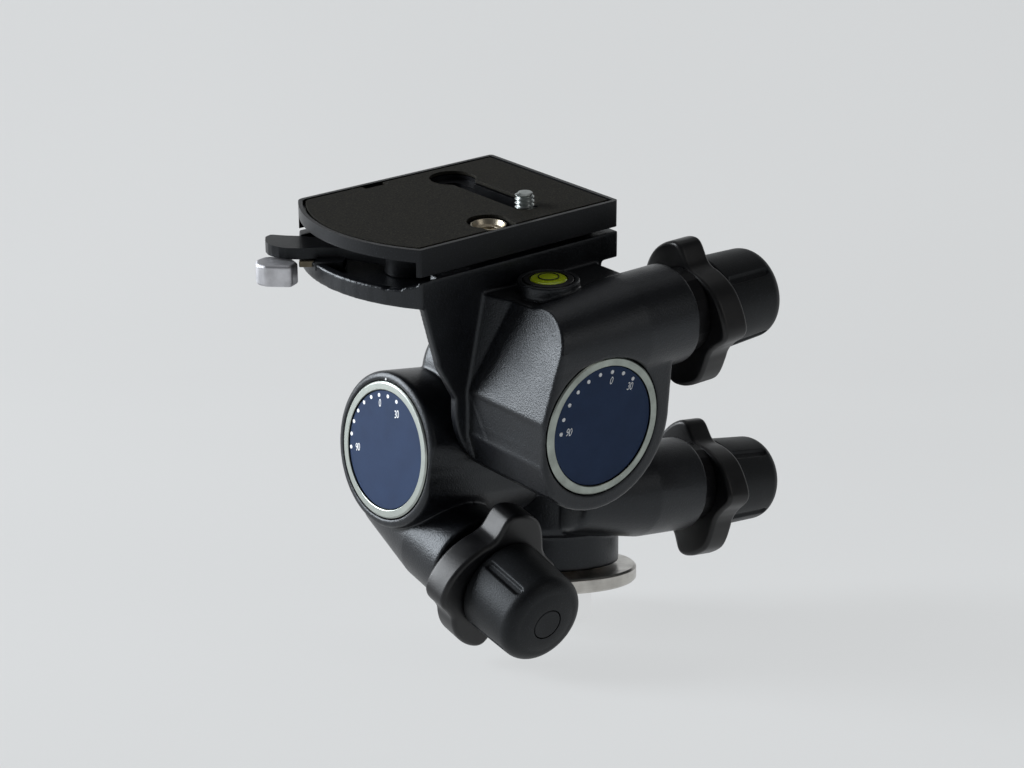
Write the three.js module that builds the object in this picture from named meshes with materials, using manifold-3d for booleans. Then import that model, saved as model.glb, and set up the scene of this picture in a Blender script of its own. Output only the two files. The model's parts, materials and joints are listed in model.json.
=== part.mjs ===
// Geared tripod head with a pan axis and two tilt axes, each turned by a worm drive with a knob.
// Millimetres, +Z up. The origin is the centre of the base's underside, on the pan axis.
// +X is the way the pan knob points; the dial of the second tilt axis faces -Y.
// Every part is written in level coordinates, and tilted groups turn it to the pose of the head.
import * as THREE from "three";
import { mergeVertices } from "three/addons/utils/BufferGeometryUtils.js";
import Module from "manifold-3d";

const wasm = await Module();
wasm.setup();

// Driving dimensions of the whole head
const GAP = 0.3; // clearance between pieces that touch
const OVERRUN = 1; // how far a cutter runs past the face it opens
const TILT_A = THREE.MathUtils.degToRad(11.8); // first tilt at rest, -Y side down
const TILT_B = THREE.MathUtils.degToRad(9.8); // second tilt at rest, -X side down
const AXIS_A_Y = -10.2;
const AXIS_A_Z = 51.3;
const AXIS_B_X = -43.9;
const AXIS_B_Z = 76.4;
const DIAL_A_X = -75.2; // face of dial A
const DIAL_B_Y = -73.3; // face of dial B
const TOP_Z = 130; // top of the camera plate when level

// Worm drives, the same parts on all three axes
const GEAR_TEETH = 36;
const GEAR_PITCH_R = 16.5;
const GEAR_TIP_R = 17.3;
const GEAR_ROOT_R = 15;
const GEAR_WIDTH = 8;
const DRIVE_CENTRES = 22; // gear axis to worm axis
const WORM_PITCH = (2 * Math.PI * GEAR_PITCH_R) / GEAR_TEETH;
const WORM_TIP_R = 5.5;
const WORM_ROOT_R = 4.2;
const WORM_HALF_LENGTH = 5.6; // threaded length to each side of the gear axis
const WORM_STEPS = 8; // facets along the thread in one turn
const WORM_JOURNAL_R = 5.5;
const WORM_SHAFT_R = 4.6;
const SLEEVE_R = 9.4;
const SLEEVE_BORE_R = 5.9;
const SLEEVE_OFFSET = 1.8; // sleeve axis to worm axis, along both cross directions
const SLEEVE_COLLAR_R = 13.4;
const SLEEVE_COLLAR_T = 5.6;
const SLEEVE_TAIL = 11; // sleeve length behind the gear axis
const SLEEVE_WINDOW_SHARE = 0.66; // half of the gear's window, as a share of the gear cavity's radius
const RELEASE_ANGLE = THREE.MathUtils.degToRad(45);
const TUNNEL_R = 15.6;
const TUNNEL_END_R = 11.6; // the tunnel narrows towards its closed end
const TUNNEL_END_WALL = 2.2;
const TUNNEL_CONE_X = 16; // where the narrowing starts, from the gear axis
const TUNNEL_ROUND = 2;
const SPRING_WIRE_R = 0.7;
const SPRING_TURNS = 2;
const SPRING_PITCH = 3;
const SPRING_STEPS = 14; // straight bits in one turn
const SPRING_WIRE_SIDES = 5;

const LEVER_THICK = 9.7;
const LEVER_WING_R = 23.5; // reach of the longer wing
const LEVER_BEVEL = 1.2;
const LEVER_DROP = 0.7; // its outline's centre, below the worm axis
// Outline round the lever: share of the full turn, share of the longer wing's reach
const LEVER_SHARES = [
  [0, 0.949], [0.017, 0.804], [0.033, 0.72], [0.056, 0.694], [0.111, 0.749], [0.158, 0.809], [0.2, 0.847],
  [0.236, 0.894], [0.258, 0.923], [0.275, 0.885], [0.3, 0.774], [0.328, 0.719], [0.353, 0.719],
  [0.386, 0.791], [0.431, 0.932], [0.478, 0.983], [0.508, 1], [0.528, 0.97], [0.544, 0.809],
  [0.561, 0.723], [0.589, 0.698], [0.644, 0.76], [0.694, 0.84], [0.736, 0.91], [0.772, 0.955],
  [0.794, 0.93], [0.822, 0.84], [0.847, 0.81], [0.875, 0.862], [0.906, 0.915], [0.942, 0.957],
  [0.972, 0.983], [0.989, 0.979],
];
const LEVER_CLOCK = THREE.MathUtils.degToRad(90); // direction of the shorter wing, seen along the shaft

const KNOB_BASE_R = 15;
const KNOB_TIP_R = 14.3;
const KNOB_LENGTH = 22.6;
const KNOB_ROUND = 4.3; // rounding of the rim
const KNOB_DOME = 0.6; // rise of the end face
const KNOB_GAP = 0.6; // between knob and lever
const KNOB_HUB_DEPTH = 14;
const KNOB_GROOVE_INSET = 1.5; // from the knob's base to its grooves
const KNOB_GROOVE_WIDTH = 2.2;
const KNOB_GROOVE_DEPTH = 1;
const KNOB_GROOVES = 4;
const KNOB_CAP_R = 5;
const KNOB_CAP_T = 1.2;

// Distance from each gear axis to the outer face of its lever
const REACH_1 = 49;
const REACH_2 = 52.6;
const REACH_3 = 51.5;
const GEAR_1_X = -58.6; // plane of the first tilt's gear
const GEAR_2_Z = 29.2; // plane of the pan gear
const GEAR_3_Y = -59; // plane of the second tilt's gear
const DROOP_1 = THREE.MathUtils.degToRad(10.2); // the first tilt's knob points down by this

// Dials
const DIAL_RING_R = 21.4;
const DIAL_DISC_R = 18.8;
const DIAL_T = 2.2;
const DIAL_BACK_T = 0.6; // plate behind the ring
const DIAL_RING_LIP = 0.5; // ring proud of the disc
const DIAL_BEVEL = 0.3;
const DIAL_STUD_R = 4;
const DIAL_STUD_LENGTH = 4;
const DIAL_POCKET_R = DIAL_RING_R + GAP;
const DIAL_RIM_STEP = 0.2; // dial face ahead of its housing

// Base
const BASE_R = 30;
const BASE_T = 4.9;
const BASE_CHAMFER = 0.8;
const BASE_BORE_R = 7.2;
const INSERT_R = BASE_BORE_R - GAP;
const INSERT_BORE_R = 4.7;
const INSERT_T = 9;
const BASE_SCREW_CIRCLE = 12;
const BASE_SCREWS = 3;
const BASE_SCREW_HEAD_R = 2.9;
const BASE_SCREW_HEAD_T = 1.9;
const BASE_SCREW_R = 1.5;
const BASE_SCREW_LENGTH = 8;
const SPINDLE_FOOT_R = 16;
const FLANGE_R = 19.4;
const FLANGE_Z = 10.4;
const FLANGE_T = 4;
const SPINDLE_R = 9;
const SPINDLE_SHOULDER_R = 11.5; // the pan gear rests on it
const SPINDLE_TOP_Z = 38.5;
const SPINDLE_BORE_R = 5.2;
const SPINDLE_BORE_DEPTH = 12;
const GEAR_NUT_R = 11.5;
const GEAR_NUT_T = 3.6;
const RETAINER_Z = 6.6;
const RETAINER_T = 3.2;

// Pan housing
const NECK_R = 24;
const NECK_Z = 6.3;
const BODY_R = 26.4;
const BODY_Z = 17.6; // where the neck widens into the body
const BODY_TOP_Z = 46;
const BODY_ROUND = 3;
const PAN_CAVITY_R = 20.2;
const NUT_CAVITY_R = 12.4;
const ARM_R = 20.4; // horizontal arm of the pan housing, round axis A
const ARM_X0 = -25;
const ARM_X1 = 15.5;
const ARM_ROUND = 4;
const SADDLE_Z = 26; // foot of the saddle that joins arm and body

// Shafts of the two tilt axes
const SHAFT_R = 8;
const SHAFT_BOLT_R = 4;
const SHAFT_BOLT_DEPTH = 12;
const BOLT_HEAD_R = 7;
const BOLT_HEAD_T = 5;
const WASHER_R = 16;
const WASHER_B_R = 13.5;
const WASHER_T = 1.2;
const SHAFT_A_X1 = 8;
const SHAFT_B_Y1 = -16;

// First tilt housing
const HOUSING_A_R = 24.6;
const HOUSING_A_X1 = ARM_X0 - GAP - WASHER_T - GAP;
const HOUSING_A_ROUND = 1.6;
const BOSS_B_R = 17;
const BOSS_B_Y1 = -4;
const BOSS_B_ROUND = 3;
const GEAR_CAVITY_R = GEAR_TIP_R + 2 * GAP;

// Plate receiver and web
const PLATE_X0 = -82.9;
const PLATE_X1 = -7;
const PLATE_Y0 = -36.5;
const PLATE_Y1 = 26.6;
const END_BULGE = 10.4; // how far the curved end reaches past PLATE_X0
const PLATE_T = 8.4;
const PLATE_GAP = 1.6;
const RECEIVER_T = 8.5;
const RECEIVER_FLOOR_T = 3;
const RAIL_W = 5;
const END_LIP_H = 5.6; // height of the curved end wall
const END_LIP_W = 3;
const WEB_T = 3;
const RECEIVER_TOP_Z = TOP_Z - PLATE_T - PLATE_GAP;
const RECEIVER_Z = RECEIVER_TOP_Z - RECEIVER_T;
const HALF_WIDTH = (PLATE_Y1 - PLATE_Y0) / 2;
const BULGE_R = (HALF_WIDTH * HALF_WIDTH + END_BULGE * END_BULGE) / (2 * END_BULGE);
const BULGE_X = PLATE_X0 - END_BULGE + BULGE_R;
const BULGE_Y = (PLATE_Y0 + PLATE_Y1) / 2;

// Web, from the receiver down to the hub
const WEB_TOP_X = -82;
const WEB_KNEE_X = -76.5;
const WEB_KNEE_Z = 91.2;
const WEB_LOW_X = -65.5;
const WEB_LOW_Z = 70.5;
const WEB_RIGHT_X = -13;

// Faceted block round axis B
const BLOCK_Y0 = DIAL_B_Y + DIAL_RIM_STEP;
const BLOCK_TOP_Z = 111.5;
const BLOCK_X1 = -15.6;
const BLOCK_RIDGE_X = -66.2;
const BLOCK_RIDGE_Z = 83;
const BLOCK_LOW_Z = 67;
const BLOCK_SHOULDER_X = -56.8;
const BLOCK_CHEEK_Z = 94; // where the right side turns in towards the hub
const HUB_R = 26.8;
const HUB_START = THREE.MathUtils.degToRad(222); // where the hub's curve leaves the lower facet
const BLOCK_BEVEL = 1.2;
const GUSSET_X = -60; // gusset between web and block: its top corner on the web
const GUSSET_Y = -46.1; // and the one on the block
const LEVEL_X = -44;
const LEVEL_Y = -47.6;
const LEVEL_BOSS_R = 9.4;
const LEVEL_RISE = 4.3; // boss above the block
const LEVEL_TOP_Z = BLOCK_TOP_Z + LEVEL_RISE;
const VIAL_R = 6.4;
const VIAL_T = 4;
const BEZEL_R = 7.6;

// Camera plate
const PLATE_LIP_W = 1.8;
const PAD_DEPTH = 1.4;
const PLATE_BEVEL = 0.7;
const SLOT_X = -32.5;
const SLOT_Y0 = -22;
const SLOT_Y1 = 14;
const SLOT_R = 3.6;
const SLOT_EYE_R = 7.4;
const SLOT_EYE_DEPTH = 2.8;
const SLOT_PAD_R = 4.4;
const SCREW_R = 3.17;
const SCREW_PROUD = 4.6;
const SCREW_HEAD_R = 8.5;
const SCREW_HEAD_T = 4;
const SPARE_X = -50;
const SPARE_Y = -30.2;
const SPARE_HEAD_R = 7.4;
const SPARE_HEAD_T = 3.4;
const SPARE_SHANK_R = 4.7;
const SPARE_RECESS_R = 8.6;
const NOTCH_X = -56.5;
const NOTCH_W = 8;
const NOTCH_D = 4.6;

// Quick release lever and its catch
const PIVOT_X = -69;
const PIVOT_Y = -13;
const PIVOT_R = 3;
const PIVOT_HEAD_R = 4.6;
const PIVOT_HEAD_T = 1;
const CAM_R = 8.5;
const LEVER_ARM_T = 3.6;
const ARM_WIDTH = 9;
const FINGER_X = -92.5;
const FINGER_Y = 15;
const FINGER_R = 8.6;
const CATCH_Y = 19; // the catch sits this far round the curved end
const CATCH_LENGTH = 12.5;
const CATCH_WIDTH = 12;
const CATCH_HEIGHT = 8.6;
const CATCH_ROUND = 2;

const SIDES = 24; // facets round a large circle
const SMALL_SIDES = 16;
const PIN_SIDES = 12;
const HEX_SIDES = 6;
const BODY_SIDES = 36;
const WELD = 1e-4; // vertices nearer than this are one
const ROUND_SHARE = 1 - Math.SQRT1_2; // middle of a rounded edge, as a share of its radius

// Solids and placing

const BASES = {
  x: [[0, 1, 0], [0, 0, 1], [1, 0, 0]],
  y: [[0, 0, 1], [1, 0, 0], [0, 1, 0]],
  z: [[1, 0, 0], [0, 1, 0], [0, 0, 1]],
};

/** Matrix that takes a form built along local Z to one of the three axes. */
function alongAxis(axis) {
  const [u, v, w] = BASES[axis].map((e) => new THREE.Vector3(...e));
  return new THREE.Matrix4().makeBasis(u, v, w);
}

/** Puts a form at (a, b) in the plane across the axis: (y, z), (z, x) or (x, y). */
function across(axis, a, b) {
  const [u, v] = BASES[axis].map((e) => new THREE.Vector3(...e));
  return new THREE.Vector3().addScaledVector(u, a).addScaledVector(v, b);
}

/** A manifold solid from a closed geometry. */
function solid(geometry) {
  const bare = geometry.index ? geometry.toNonIndexed() : geometry.clone();
  bare.deleteAttribute("normal");
  bare.deleteAttribute("uv");
  const merged = mergeVertices(bare, WELD);
  return new wasm.Manifold(
    new wasm.Mesh({
      numProp: 3,
      vertProperties: merged.attributes.position.array,
      triVerts: new Uint32Array(merged.index.array),
    }),
  );
}

/** Revolves a profile of [radius, place along the axis] round the axis. */
function turned(axis, profile, [a, b] = [0, 0], sides = SIDES) {
  const points = profile.map(([r, h]) => new THREE.Vector2(r, h));
  const geometry = new THREE.LatheGeometry(points, sides);
  geometry.rotateX(Math.PI / 2); // the lathe's own axis, Y, becomes Z
  geometry.applyMatrix4(alongAxis(axis));
  geometry.translate(...across(axis, a, b));
  return solid(geometry);
}

/** Round bar from start to end along the axis, with its ends rounded off by the given amounts. */
function rod(axis, radius, start, end, centre = [0, 0], sides = SIDES, round = [0, 0]) {
  const [r0, r1] = round;
  const [mid0, mid1] = [r0 * ROUND_SHARE, r1 * ROUND_SHARE];
  const profile = [[0, start]];
  if (r0) profile.push([radius - r0, start], [radius - mid0, start + mid0]);
  profile.push([radius, start + r0], [radius, end - r1]);
  if (r1) profile.push([radius - mid1, end - mid1], [radius - r1, end]);
  profile.push([0, end]);
  return turned(axis, profile, centre, sides);
}

/** Ring with a bore, from start to end along the axis. */
function ring(axis, outer, inner, start, end, centre = [0, 0], sides = SIDES) {
  const profile = [[inner, start], [outer, start], [outer, end], [inner, end], [inner, start]];
  return turned(axis, profile, centre, sides);
}

/** Solid through rows of points, each row a closed loop, with its two ends closed. */
function lofted(rows) {
  const around = rows[0].length;
  const points = rows.flat();
  const centreOf = (row) => row.reduce((sum, p) => sum.add(p), new THREE.Vector3()).divideScalar(around);
  points.push(centreOf(rows[0]), centreOf(rows[rows.length - 1]));
  const first = points.length - 2;
  const last = points.length - 1;
  const top = (rows.length - 1) * around;
  const faces = [];
  for (let k = 0; k < around; k++) {
    const next = (k + 1) % around;
    faces.push(first, next, k, last, top + k, top + next);
    for (let i = 0; i < rows.length - 1; i++) {
      const a = i * around;
      const b = a + around;
      faces.push(a + k, a + next, b + next, a + k, b + next, b + k);
    }
  }
  const geometry = new THREE.BufferGeometry().setFromPoints(points);
  geometry.setIndex(faces);
  return solid(geometry);
}

/** Extrudes an outline, drawn in the plane across the axis, from start to end. */
function prism(axis, outline, start, end, bevel = 0) {
  const shape = new THREE.Shape(outline.map((p) => new THREE.Vector2(...p)));
  const geometry = new THREE.ExtrudeGeometry(shape, {
    depth: end - start - 2 * bevel,
    bevelEnabled: bevel > 0,
    bevelThickness: bevel,
    bevelSize: bevel,
    bevelOffset: -bevel,
    bevelSegments: 2,
  });
  geometry.translate(0, 0, start + bevel);
  geometry.applyMatrix4(alongAxis(axis));
  return solid(geometry);
}

/** Points along an arc round (a, b), from one angle to another. */
function arc(a, b, radius, from, to, steps) {
  return Array.from({ length: steps + 1 }, (_, k) => {
    const angle = from + ((to - from) * k) / steps;
    return [a + radius * Math.cos(angle), b + radius * Math.sin(angle)];
  });
}

function box(x0, x1, y0, y1, z0, z1) {
  return prism("z", [[x0, y0], [x1, y0], [x1, y1], [x0, y1]], z0, z1);
}

function union(...parts) {
  return parts.reduce((sum, part) => sum.add(part));
}

function cut(body, ...tools) {
  return tools.reduce((left, tool) => left.subtract(tool), body);
}

/** Moves a solid by a matrix. */
function moved(part, matrix) {
  return part.transform(matrix.elements);
}

const materials = {
  casting: new THREE.MeshStandardMaterial({ color: 0x16171b, roughness: 0.5, metalness: 0.2 }),
  plastic: new THREE.MeshStandardMaterial({ color: 0x141518, roughness: 0.6, metalness: 0 }),
  steel: new THREE.MeshStandardMaterial({ color: 0x9a9c9e, roughness: 0.35, metalness: 1 }),
  brushed: new THREE.MeshStandardMaterial({ color: 0xa8a79f, roughness: 0.4, metalness: 1 }),
  zinc: new THREE.MeshStandardMaterial({ color: 0x8b8d90, roughness: 0.45, metalness: 1 }),
  bronze: new THREE.MeshStandardMaterial({ color: 0x9a7440, roughness: 0.4, metalness: 1 }),
  blackened: new THREE.MeshStandardMaterial({ color: 0x17181a, roughness: 0.5, metalness: 0.8 }),
  satin: new THREE.MeshStandardMaterial({ color: 0x9a9c98, roughness: 0.35, metalness: 1 }),
  navy: new THREE.MeshStandardMaterial({ color: 0x1b2740, roughness: 0.45, metalness: 0.1 }),
  cork: new THREE.MeshStandardMaterial({ color: 0x24231f, roughness: 0.9, metalness: 0 }),
  vial: new THREE.MeshStandardMaterial({ color: 0xb8cc1e, roughness: 0.15, metalness: 0 }),
};

/** A named mesh of a solid. */
function piece(name, part, material) {
  const { vertProperties, triVerts, numProp } = part.getMesh();
  const positions = new Float32Array(triVerts.length * 3);
  triVerts.forEach((v, i) => positions.set(vertProperties.subarray(v * numProp, v * numProp + 3), i * 3));
  const geometry = new THREE.BufferGeometry();
  geometry.setAttribute("position", new THREE.BufferAttribute(positions, 3));
  geometry.computeVertexNormals();
  const mesh = new THREE.Mesh(geometry, materials[material]);
  mesh.name = name;
  return mesh;
}

/** A group whose children keep level coordinates and are turned round a pivot. */
function tilted(parent, pivot, axis, angle) {
  const hinge = new THREE.Group();
  hinge.position.copy(pivot);
  hinge.rotation[axis] = angle;
  const level = new THREE.Group();
  level.position.copy(pivot).negate();
  hinge.add(level);
  parent.add(hinge);
  return level;
}

// Worm drive. Its own frame: origin on the gear axis in the gear's plane, x out along the worm to
// the knob, y along the gear axis, z from the gear to the worm.

/** Frame of a drive from the directions of its worm and of its gear axis. */
function driveFrame(origin, out, gearAxis) {
  const away = new THREE.Vector3().crossVectors(out, gearAxis);
  return new THREE.Matrix4().makeBasis(out, gearAxis, away).setPosition(origin);
}

const outOfHead1 = new THREE.Vector3(0, -Math.cos(DROOP_1), -Math.sin(DROOP_1));
const plusX = new THREE.Vector3(1, 0, 0);
const drives = [
  {
    id: 1,
    reach: REACH_1,
    side: -1,
    clock: LEVER_CLOCK,
    frame: driveFrame(new THREE.Vector3(GEAR_1_X, AXIS_A_Y, AXIS_A_Z), outOfHead1, plusX.clone().negate()),
  },
  {
    id: 2,
    reach: REACH_2,
    side: 1, // its sleeve and lever are fitted a quarter turn round from the others
    clock: LEVER_CLOCK - Math.PI / 2,
    frame: driveFrame(new THREE.Vector3(0, 0, GEAR_2_Z), plusX, new THREE.Vector3(0, 0, 1)),
  },
  {
    id: 3,
    reach: REACH_3,
    side: -1,
    clock: LEVER_CLOCK,
    frame: driveFrame(new THREE.Vector3(AXIS_B_X, GEAR_3_Y, AXIS_B_Z), plusX, new THREE.Vector3(0, 1, 0)),
  },
];

const wormCentre = [0, DRIVE_CENTRES];

function sleeveCentre(drive) {
  return [drive.side * SLEEVE_OFFSET, DRIVE_CENTRES + SLEEVE_OFFSET];
}

function tunnelMouth(drive) {
  return drive.reach - LEVER_THICK - GAP - SLEEVE_COLLAR_T - GAP;
}

const springPocket = SPRING_TURNS * SPRING_PITCH + 2 * SPRING_WIRE_R + 2 * GAP;

/** Worm wheel with straight teeth, a tooth space facing the worm. */
function gearSolid(bore) {
  const pitch = (2 * Math.PI) / GEAR_TEETH;
  const toothShares = [[-0.5, GEAR_ROOT_R], [-0.12, GEAR_TIP_R], [0.12, GEAR_TIP_R]];
  const points = [];
  for (let tooth = 0; tooth < GEAR_TEETH; tooth++)
    for (const [share, radius] of toothShares) {
      const angle = (tooth + 0.5 + share) * pitch; // along y, angles run from z to x
      points.push([radius * Math.cos(angle), radius * Math.sin(angle)]);
    }
  const wheel = prism("y", points, -GEAR_WIDTH / 2, GEAR_WIDTH / 2);
  return cut(wheel, rod("y", bore, -GEAR_WIDTH, GEAR_WIDTH, [0, 0], SMALL_SIDES));
}

/** Right-hand thread: one section, turned a full turn in each pitch, its crest facing the gear at x = 0. */
function threadSolid() {
  const crestShares = [-0.1, 0, 0.1];
  const rootShares = [0.27, 0.42, 0.58, 0.73];
  const section = [
    ...crestShares.map((share) => [share, WORM_TIP_R]),
    ...rootShares.map((share) => [share, WORM_ROOT_R]),
  ];
  const steps = Math.round((2 * WORM_HALF_LENGTH * WORM_STEPS) / WORM_PITCH);
  const rows = [];
  for (let i = 0; i <= steps; i++) {
    const x = WORM_HALF_LENGTH * ((2 * i) / steps - 1);
    const turn = (2 * Math.PI * x) / WORM_PITCH - Math.PI / 2;
    rows.push(
      section.map(([share, radius]) => {
        const angle = turn + 2 * Math.PI * share;
        return new THREE.Vector3(x, radius * Math.cos(angle), radius * Math.sin(angle));
      }),
    );
  }
  return moved(lofted(rows), new THREE.Matrix4().makeTranslation(0, 0, DRIVE_CENTRES));
}

/** The worm: its thread, a journal at each end and the shaft that carries the knob. */
function wormSolid(drive) {
  const knobEnd = drive.reach + KNOB_GAP + KNOB_HUB_DEPTH - GAP;
  const journal = rod("x", WORM_JOURNAL_R, -SLEEVE_TAIL, -WORM_HALF_LENGTH, wormCentre, PIN_SIDES);
  const shaft = rod("x", WORM_SHAFT_R, WORM_HALF_LENGTH, knobEnd, wormCentre, PIN_SIDES);
  const bearingStart = drive.reach - LEVER_THICK;
  const bearing = rod("x", WORM_JOURNAL_R, bearingStart, drive.reach - GAP, wormCentre, PIN_SIDES);
  return union(threadSolid(), journal, shaft, bearing);
}

/** Eccentric sleeve with a window for the gear, wide enough for the sleeve's quarter-turn travel. */
function sleeveSolid(drive) {
  const centre = sleeveCentre(drive);
  const collarEnd = drive.reach - LEVER_THICK - GAP;
  const body = union(
    rod("x", SLEEVE_R, -SLEEVE_TAIL, drive.reach - GAP, centre, SMALL_SIDES),
    rod("x", SLEEVE_COLLAR_R, collarEnd - SLEEVE_COLLAR_T, collarEnd, centre, SIDES),
  );
  const boreEnd = drive.reach + OVERRUN;
  const bore = rod("x", SLEEVE_BORE_R, -SLEEVE_TAIL - OVERRUN, boreEnd, wormCentre, SMALL_SIDES);
  const windowX = GEAR_CAVITY_R * SLEEVE_WINDOW_SHARE;
  const windowTop = GEAR_TIP_R + GAP;
  const windowY = GEAR_WIDTH / 2 + GAP;
  const window = box(-windowX, windowX, -windowY, windowY, DRIVE_CENTRES - 2 * SLEEVE_R, windowTop);
  const tools = [bore];
  for (const share of [0, 0.5, 1]) {
    const turn = new THREE.Matrix4()
      .makeTranslation(0, ...centre)
      .multiply(new THREE.Matrix4().makeRotationX(drive.side * share * RELEASE_ANGLE))
      .multiply(new THREE.Matrix4().makeTranslation(0, -centre[0], -centre[1]));
    tools.push(moved(window, turn));
  }
  return cut(body, ...tools);
}

/** Release lever on the sleeve's outer end: a ring with two wings, each steep on one side. */
function leverSolid(drive) {
  const y = -LEVER_DROP * Math.cos(drive.clock);
  const z = DRIVE_CENTRES - LEVER_DROP * Math.sin(drive.clock);
  const start = drive.reach - LEVER_THICK;
  const bevelled = [
    [start, LEVER_BEVEL],
    [start + LEVER_BEVEL, 0],
    [drive.reach - LEVER_BEVEL, 0],
    [drive.reach, LEVER_BEVEL],
  ];
  const rows = bevelled.map(([x, inset]) =>
    LEVER_SHARES.map(([turnShare, reachShare]) => {
      const angle = drive.clock + 2 * Math.PI * turnShare;
      const radius = LEVER_WING_R * reachShare - inset;
      return new THREE.Vector3(x, y + radius * Math.cos(angle), z + radius * Math.sin(angle));
    }),
  );
  const bore = rod("x", SLEEVE_R + GAP, 0, drive.reach + OVERRUN, sleeveCentre(drive), SMALL_SIDES);
  return cut(lofted(rows), bore);
}

/** Knob with a rounded rim, four finger grooves, a hub bore for the shaft and a seat for its cap. */
function knobSolid(drive) {
  const base = drive.reach + KNOB_GAP;
  const rimX = base + KNOB_LENGTH - KNOB_DOME - KNOB_ROUND;
  const profile = [[0, base], [KNOB_BASE_R - KNOB_GAP, base], [KNOB_BASE_R, base + KNOB_GAP]];
  for (const [x, radius] of arc(rimX, KNOB_TIP_R - KNOB_ROUND, KNOB_ROUND, Math.PI / 2, 0, 3))
    profile.push([radius, x]);
  profile.push([KNOB_CAP_R, base + KNOB_LENGTH], [0, base + KNOB_LENGTH]);
  const end = base + KNOB_LENGTH;
  const tools = [
    rod("x", WORM_SHAFT_R + GAP, base - OVERRUN, base + KNOB_HUB_DEPTH, wormCentre, PIN_SIDES),
    rod("x", KNOB_CAP_R, end - KNOB_CAP_T - GAP, end + OVERRUN, wormCentre, PIN_SIDES),
  ];
  const half = KNOB_GROOVE_WIDTH / 2;
  const grooveFloor = KNOB_TIP_R - KNOB_GROOVE_DEPTH;
  const groove = box(base + KNOB_GROOVE_INSET, rimX, -half, half, grooveFloor, KNOB_BASE_R + OVERRUN);
  for (let k = 0; k < KNOB_GROOVES; k++) {
    const turn = new THREE.Matrix4()
      .makeTranslation(0, ...wormCentre)
      .multiply(new THREE.Matrix4().makeRotationX((2 * Math.PI * (k + 0.5)) / KNOB_GROOVES));
    tools.push(moved(groove, turn));
  }
  return cut(turned("x", profile, wormCentre), ...tools);
}

function knobCapSolid(drive) {
  const end = drive.reach + KNOB_GAP + KNOB_LENGTH;
  return rod("x", KNOB_CAP_R - GAP, end - KNOB_CAP_T, end, wormCentre, PIN_SIDES, [0, GAP]);
}

/** Torsion spring round the sleeve, in the pocket behind its collar. */
function springSolid(drive) {
  const radius = SLEEVE_R + GAP + SPRING_WIRE_R;
  const start = tunnelMouth(drive) - springPocket + GAP + SPRING_WIRE_R;
  const centre = sleeveCentre(drive);
  const rows = [];
  for (let i = 0; i <= SPRING_STEPS * SPRING_TURNS; i++) {
    const angle = (2 * Math.PI * i) / SPRING_STEPS;
    const outward = new THREE.Vector3(0, Math.cos(angle), Math.sin(angle));
    const middle = new THREE.Vector3(start + (SPRING_PITCH * i) / SPRING_STEPS, ...centre);
    middle.addScaledVector(outward, radius);
    const last = SPRING_WIRE_SIDES - 1;
    const wire = arc(0, 0, SPRING_WIRE_R, 0, (-2 * Math.PI * last) / SPRING_WIRE_SIDES, last);
    rows.push(
      wire.map(([out, along]) => middle.clone().addScaledVector(outward, out).addScaledVector(plusX, along)),
    );
  }
  return lofted(rows);
}

/** Outer form of the casting's tunnel, narrowing towards its closed end. */
function tunnelSolid(drive, end = -SLEEVE_TAIL - GAP - TUNNEL_END_WALL) {
  const mouth = tunnelMouth(drive);
  const profile = [
    [0, end],
    [TUNNEL_END_R - TUNNEL_ROUND, end],
    [TUNNEL_END_R - TUNNEL_ROUND * ROUND_SHARE, end + TUNNEL_ROUND * ROUND_SHARE],
    [TUNNEL_END_R, end + TUNNEL_ROUND],
    [TUNNEL_R, TUNNEL_CONE_X],
    [TUNNEL_R, mouth - GAP],
    [TUNNEL_R - GAP, mouth],
    [0, mouth],
  ];
  return turned("x", profile, sleeveCentre(drive));
}

/** What the tunnel is hollowed by: the sleeve's bore and the spring's pocket. */
function tunnelBore(drive) {
  const centre = sleeveCentre(drive);
  const mouth = tunnelMouth(drive);
  const pocketR = SLEEVE_R + 2 * GAP + 2 * SPRING_WIRE_R;
  return union(
    rod("x", SLEEVE_R + GAP, -SLEEVE_TAIL - GAP, mouth + OVERRUN, centre, SMALL_SIDES),
    rod("x", pocketR, mouth - springPocket, mouth + OVERRUN, centre, SMALL_SIDES),
  );
}

/** Adds the pieces of a drive that sit beside its casting. */
function addDrive(parent, drive) {
  const group = new THREE.Group();
  group.applyMatrix4(drive.frame);
  group.add(piece("worm_" + drive.id, wormSolid(drive), "steel"));
  group.add(piece("eccentric_sleeve_" + drive.id, sleeveSolid(drive), "blackened"));
  group.add(piece("release_spring_" + drive.id, springSolid(drive), "steel"));
  group.add(piece("release_lever_" + drive.id, leverSolid(drive), "plastic"));
  group.add(piece("knob_" + drive.id, knobSolid(drive), "plastic"));
  group.add(piece("knob_cap_" + drive.id, knobCapSolid(drive), "plastic"));
  parent.add(group);
}

/** A drive's wheel, placed on the shaft that holds it. */
function addGear(parent, drive, name, shaftRadius) {
  const group = new THREE.Group();
  group.applyMatrix4(drive.frame);
  group.add(piece(name, gearSolid(shaftRadius + GAP), "bronze"));
  parent.add(group);
}

// Dials: a navy disc with a stud into the shaft's end, inside a satin ring

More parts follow.
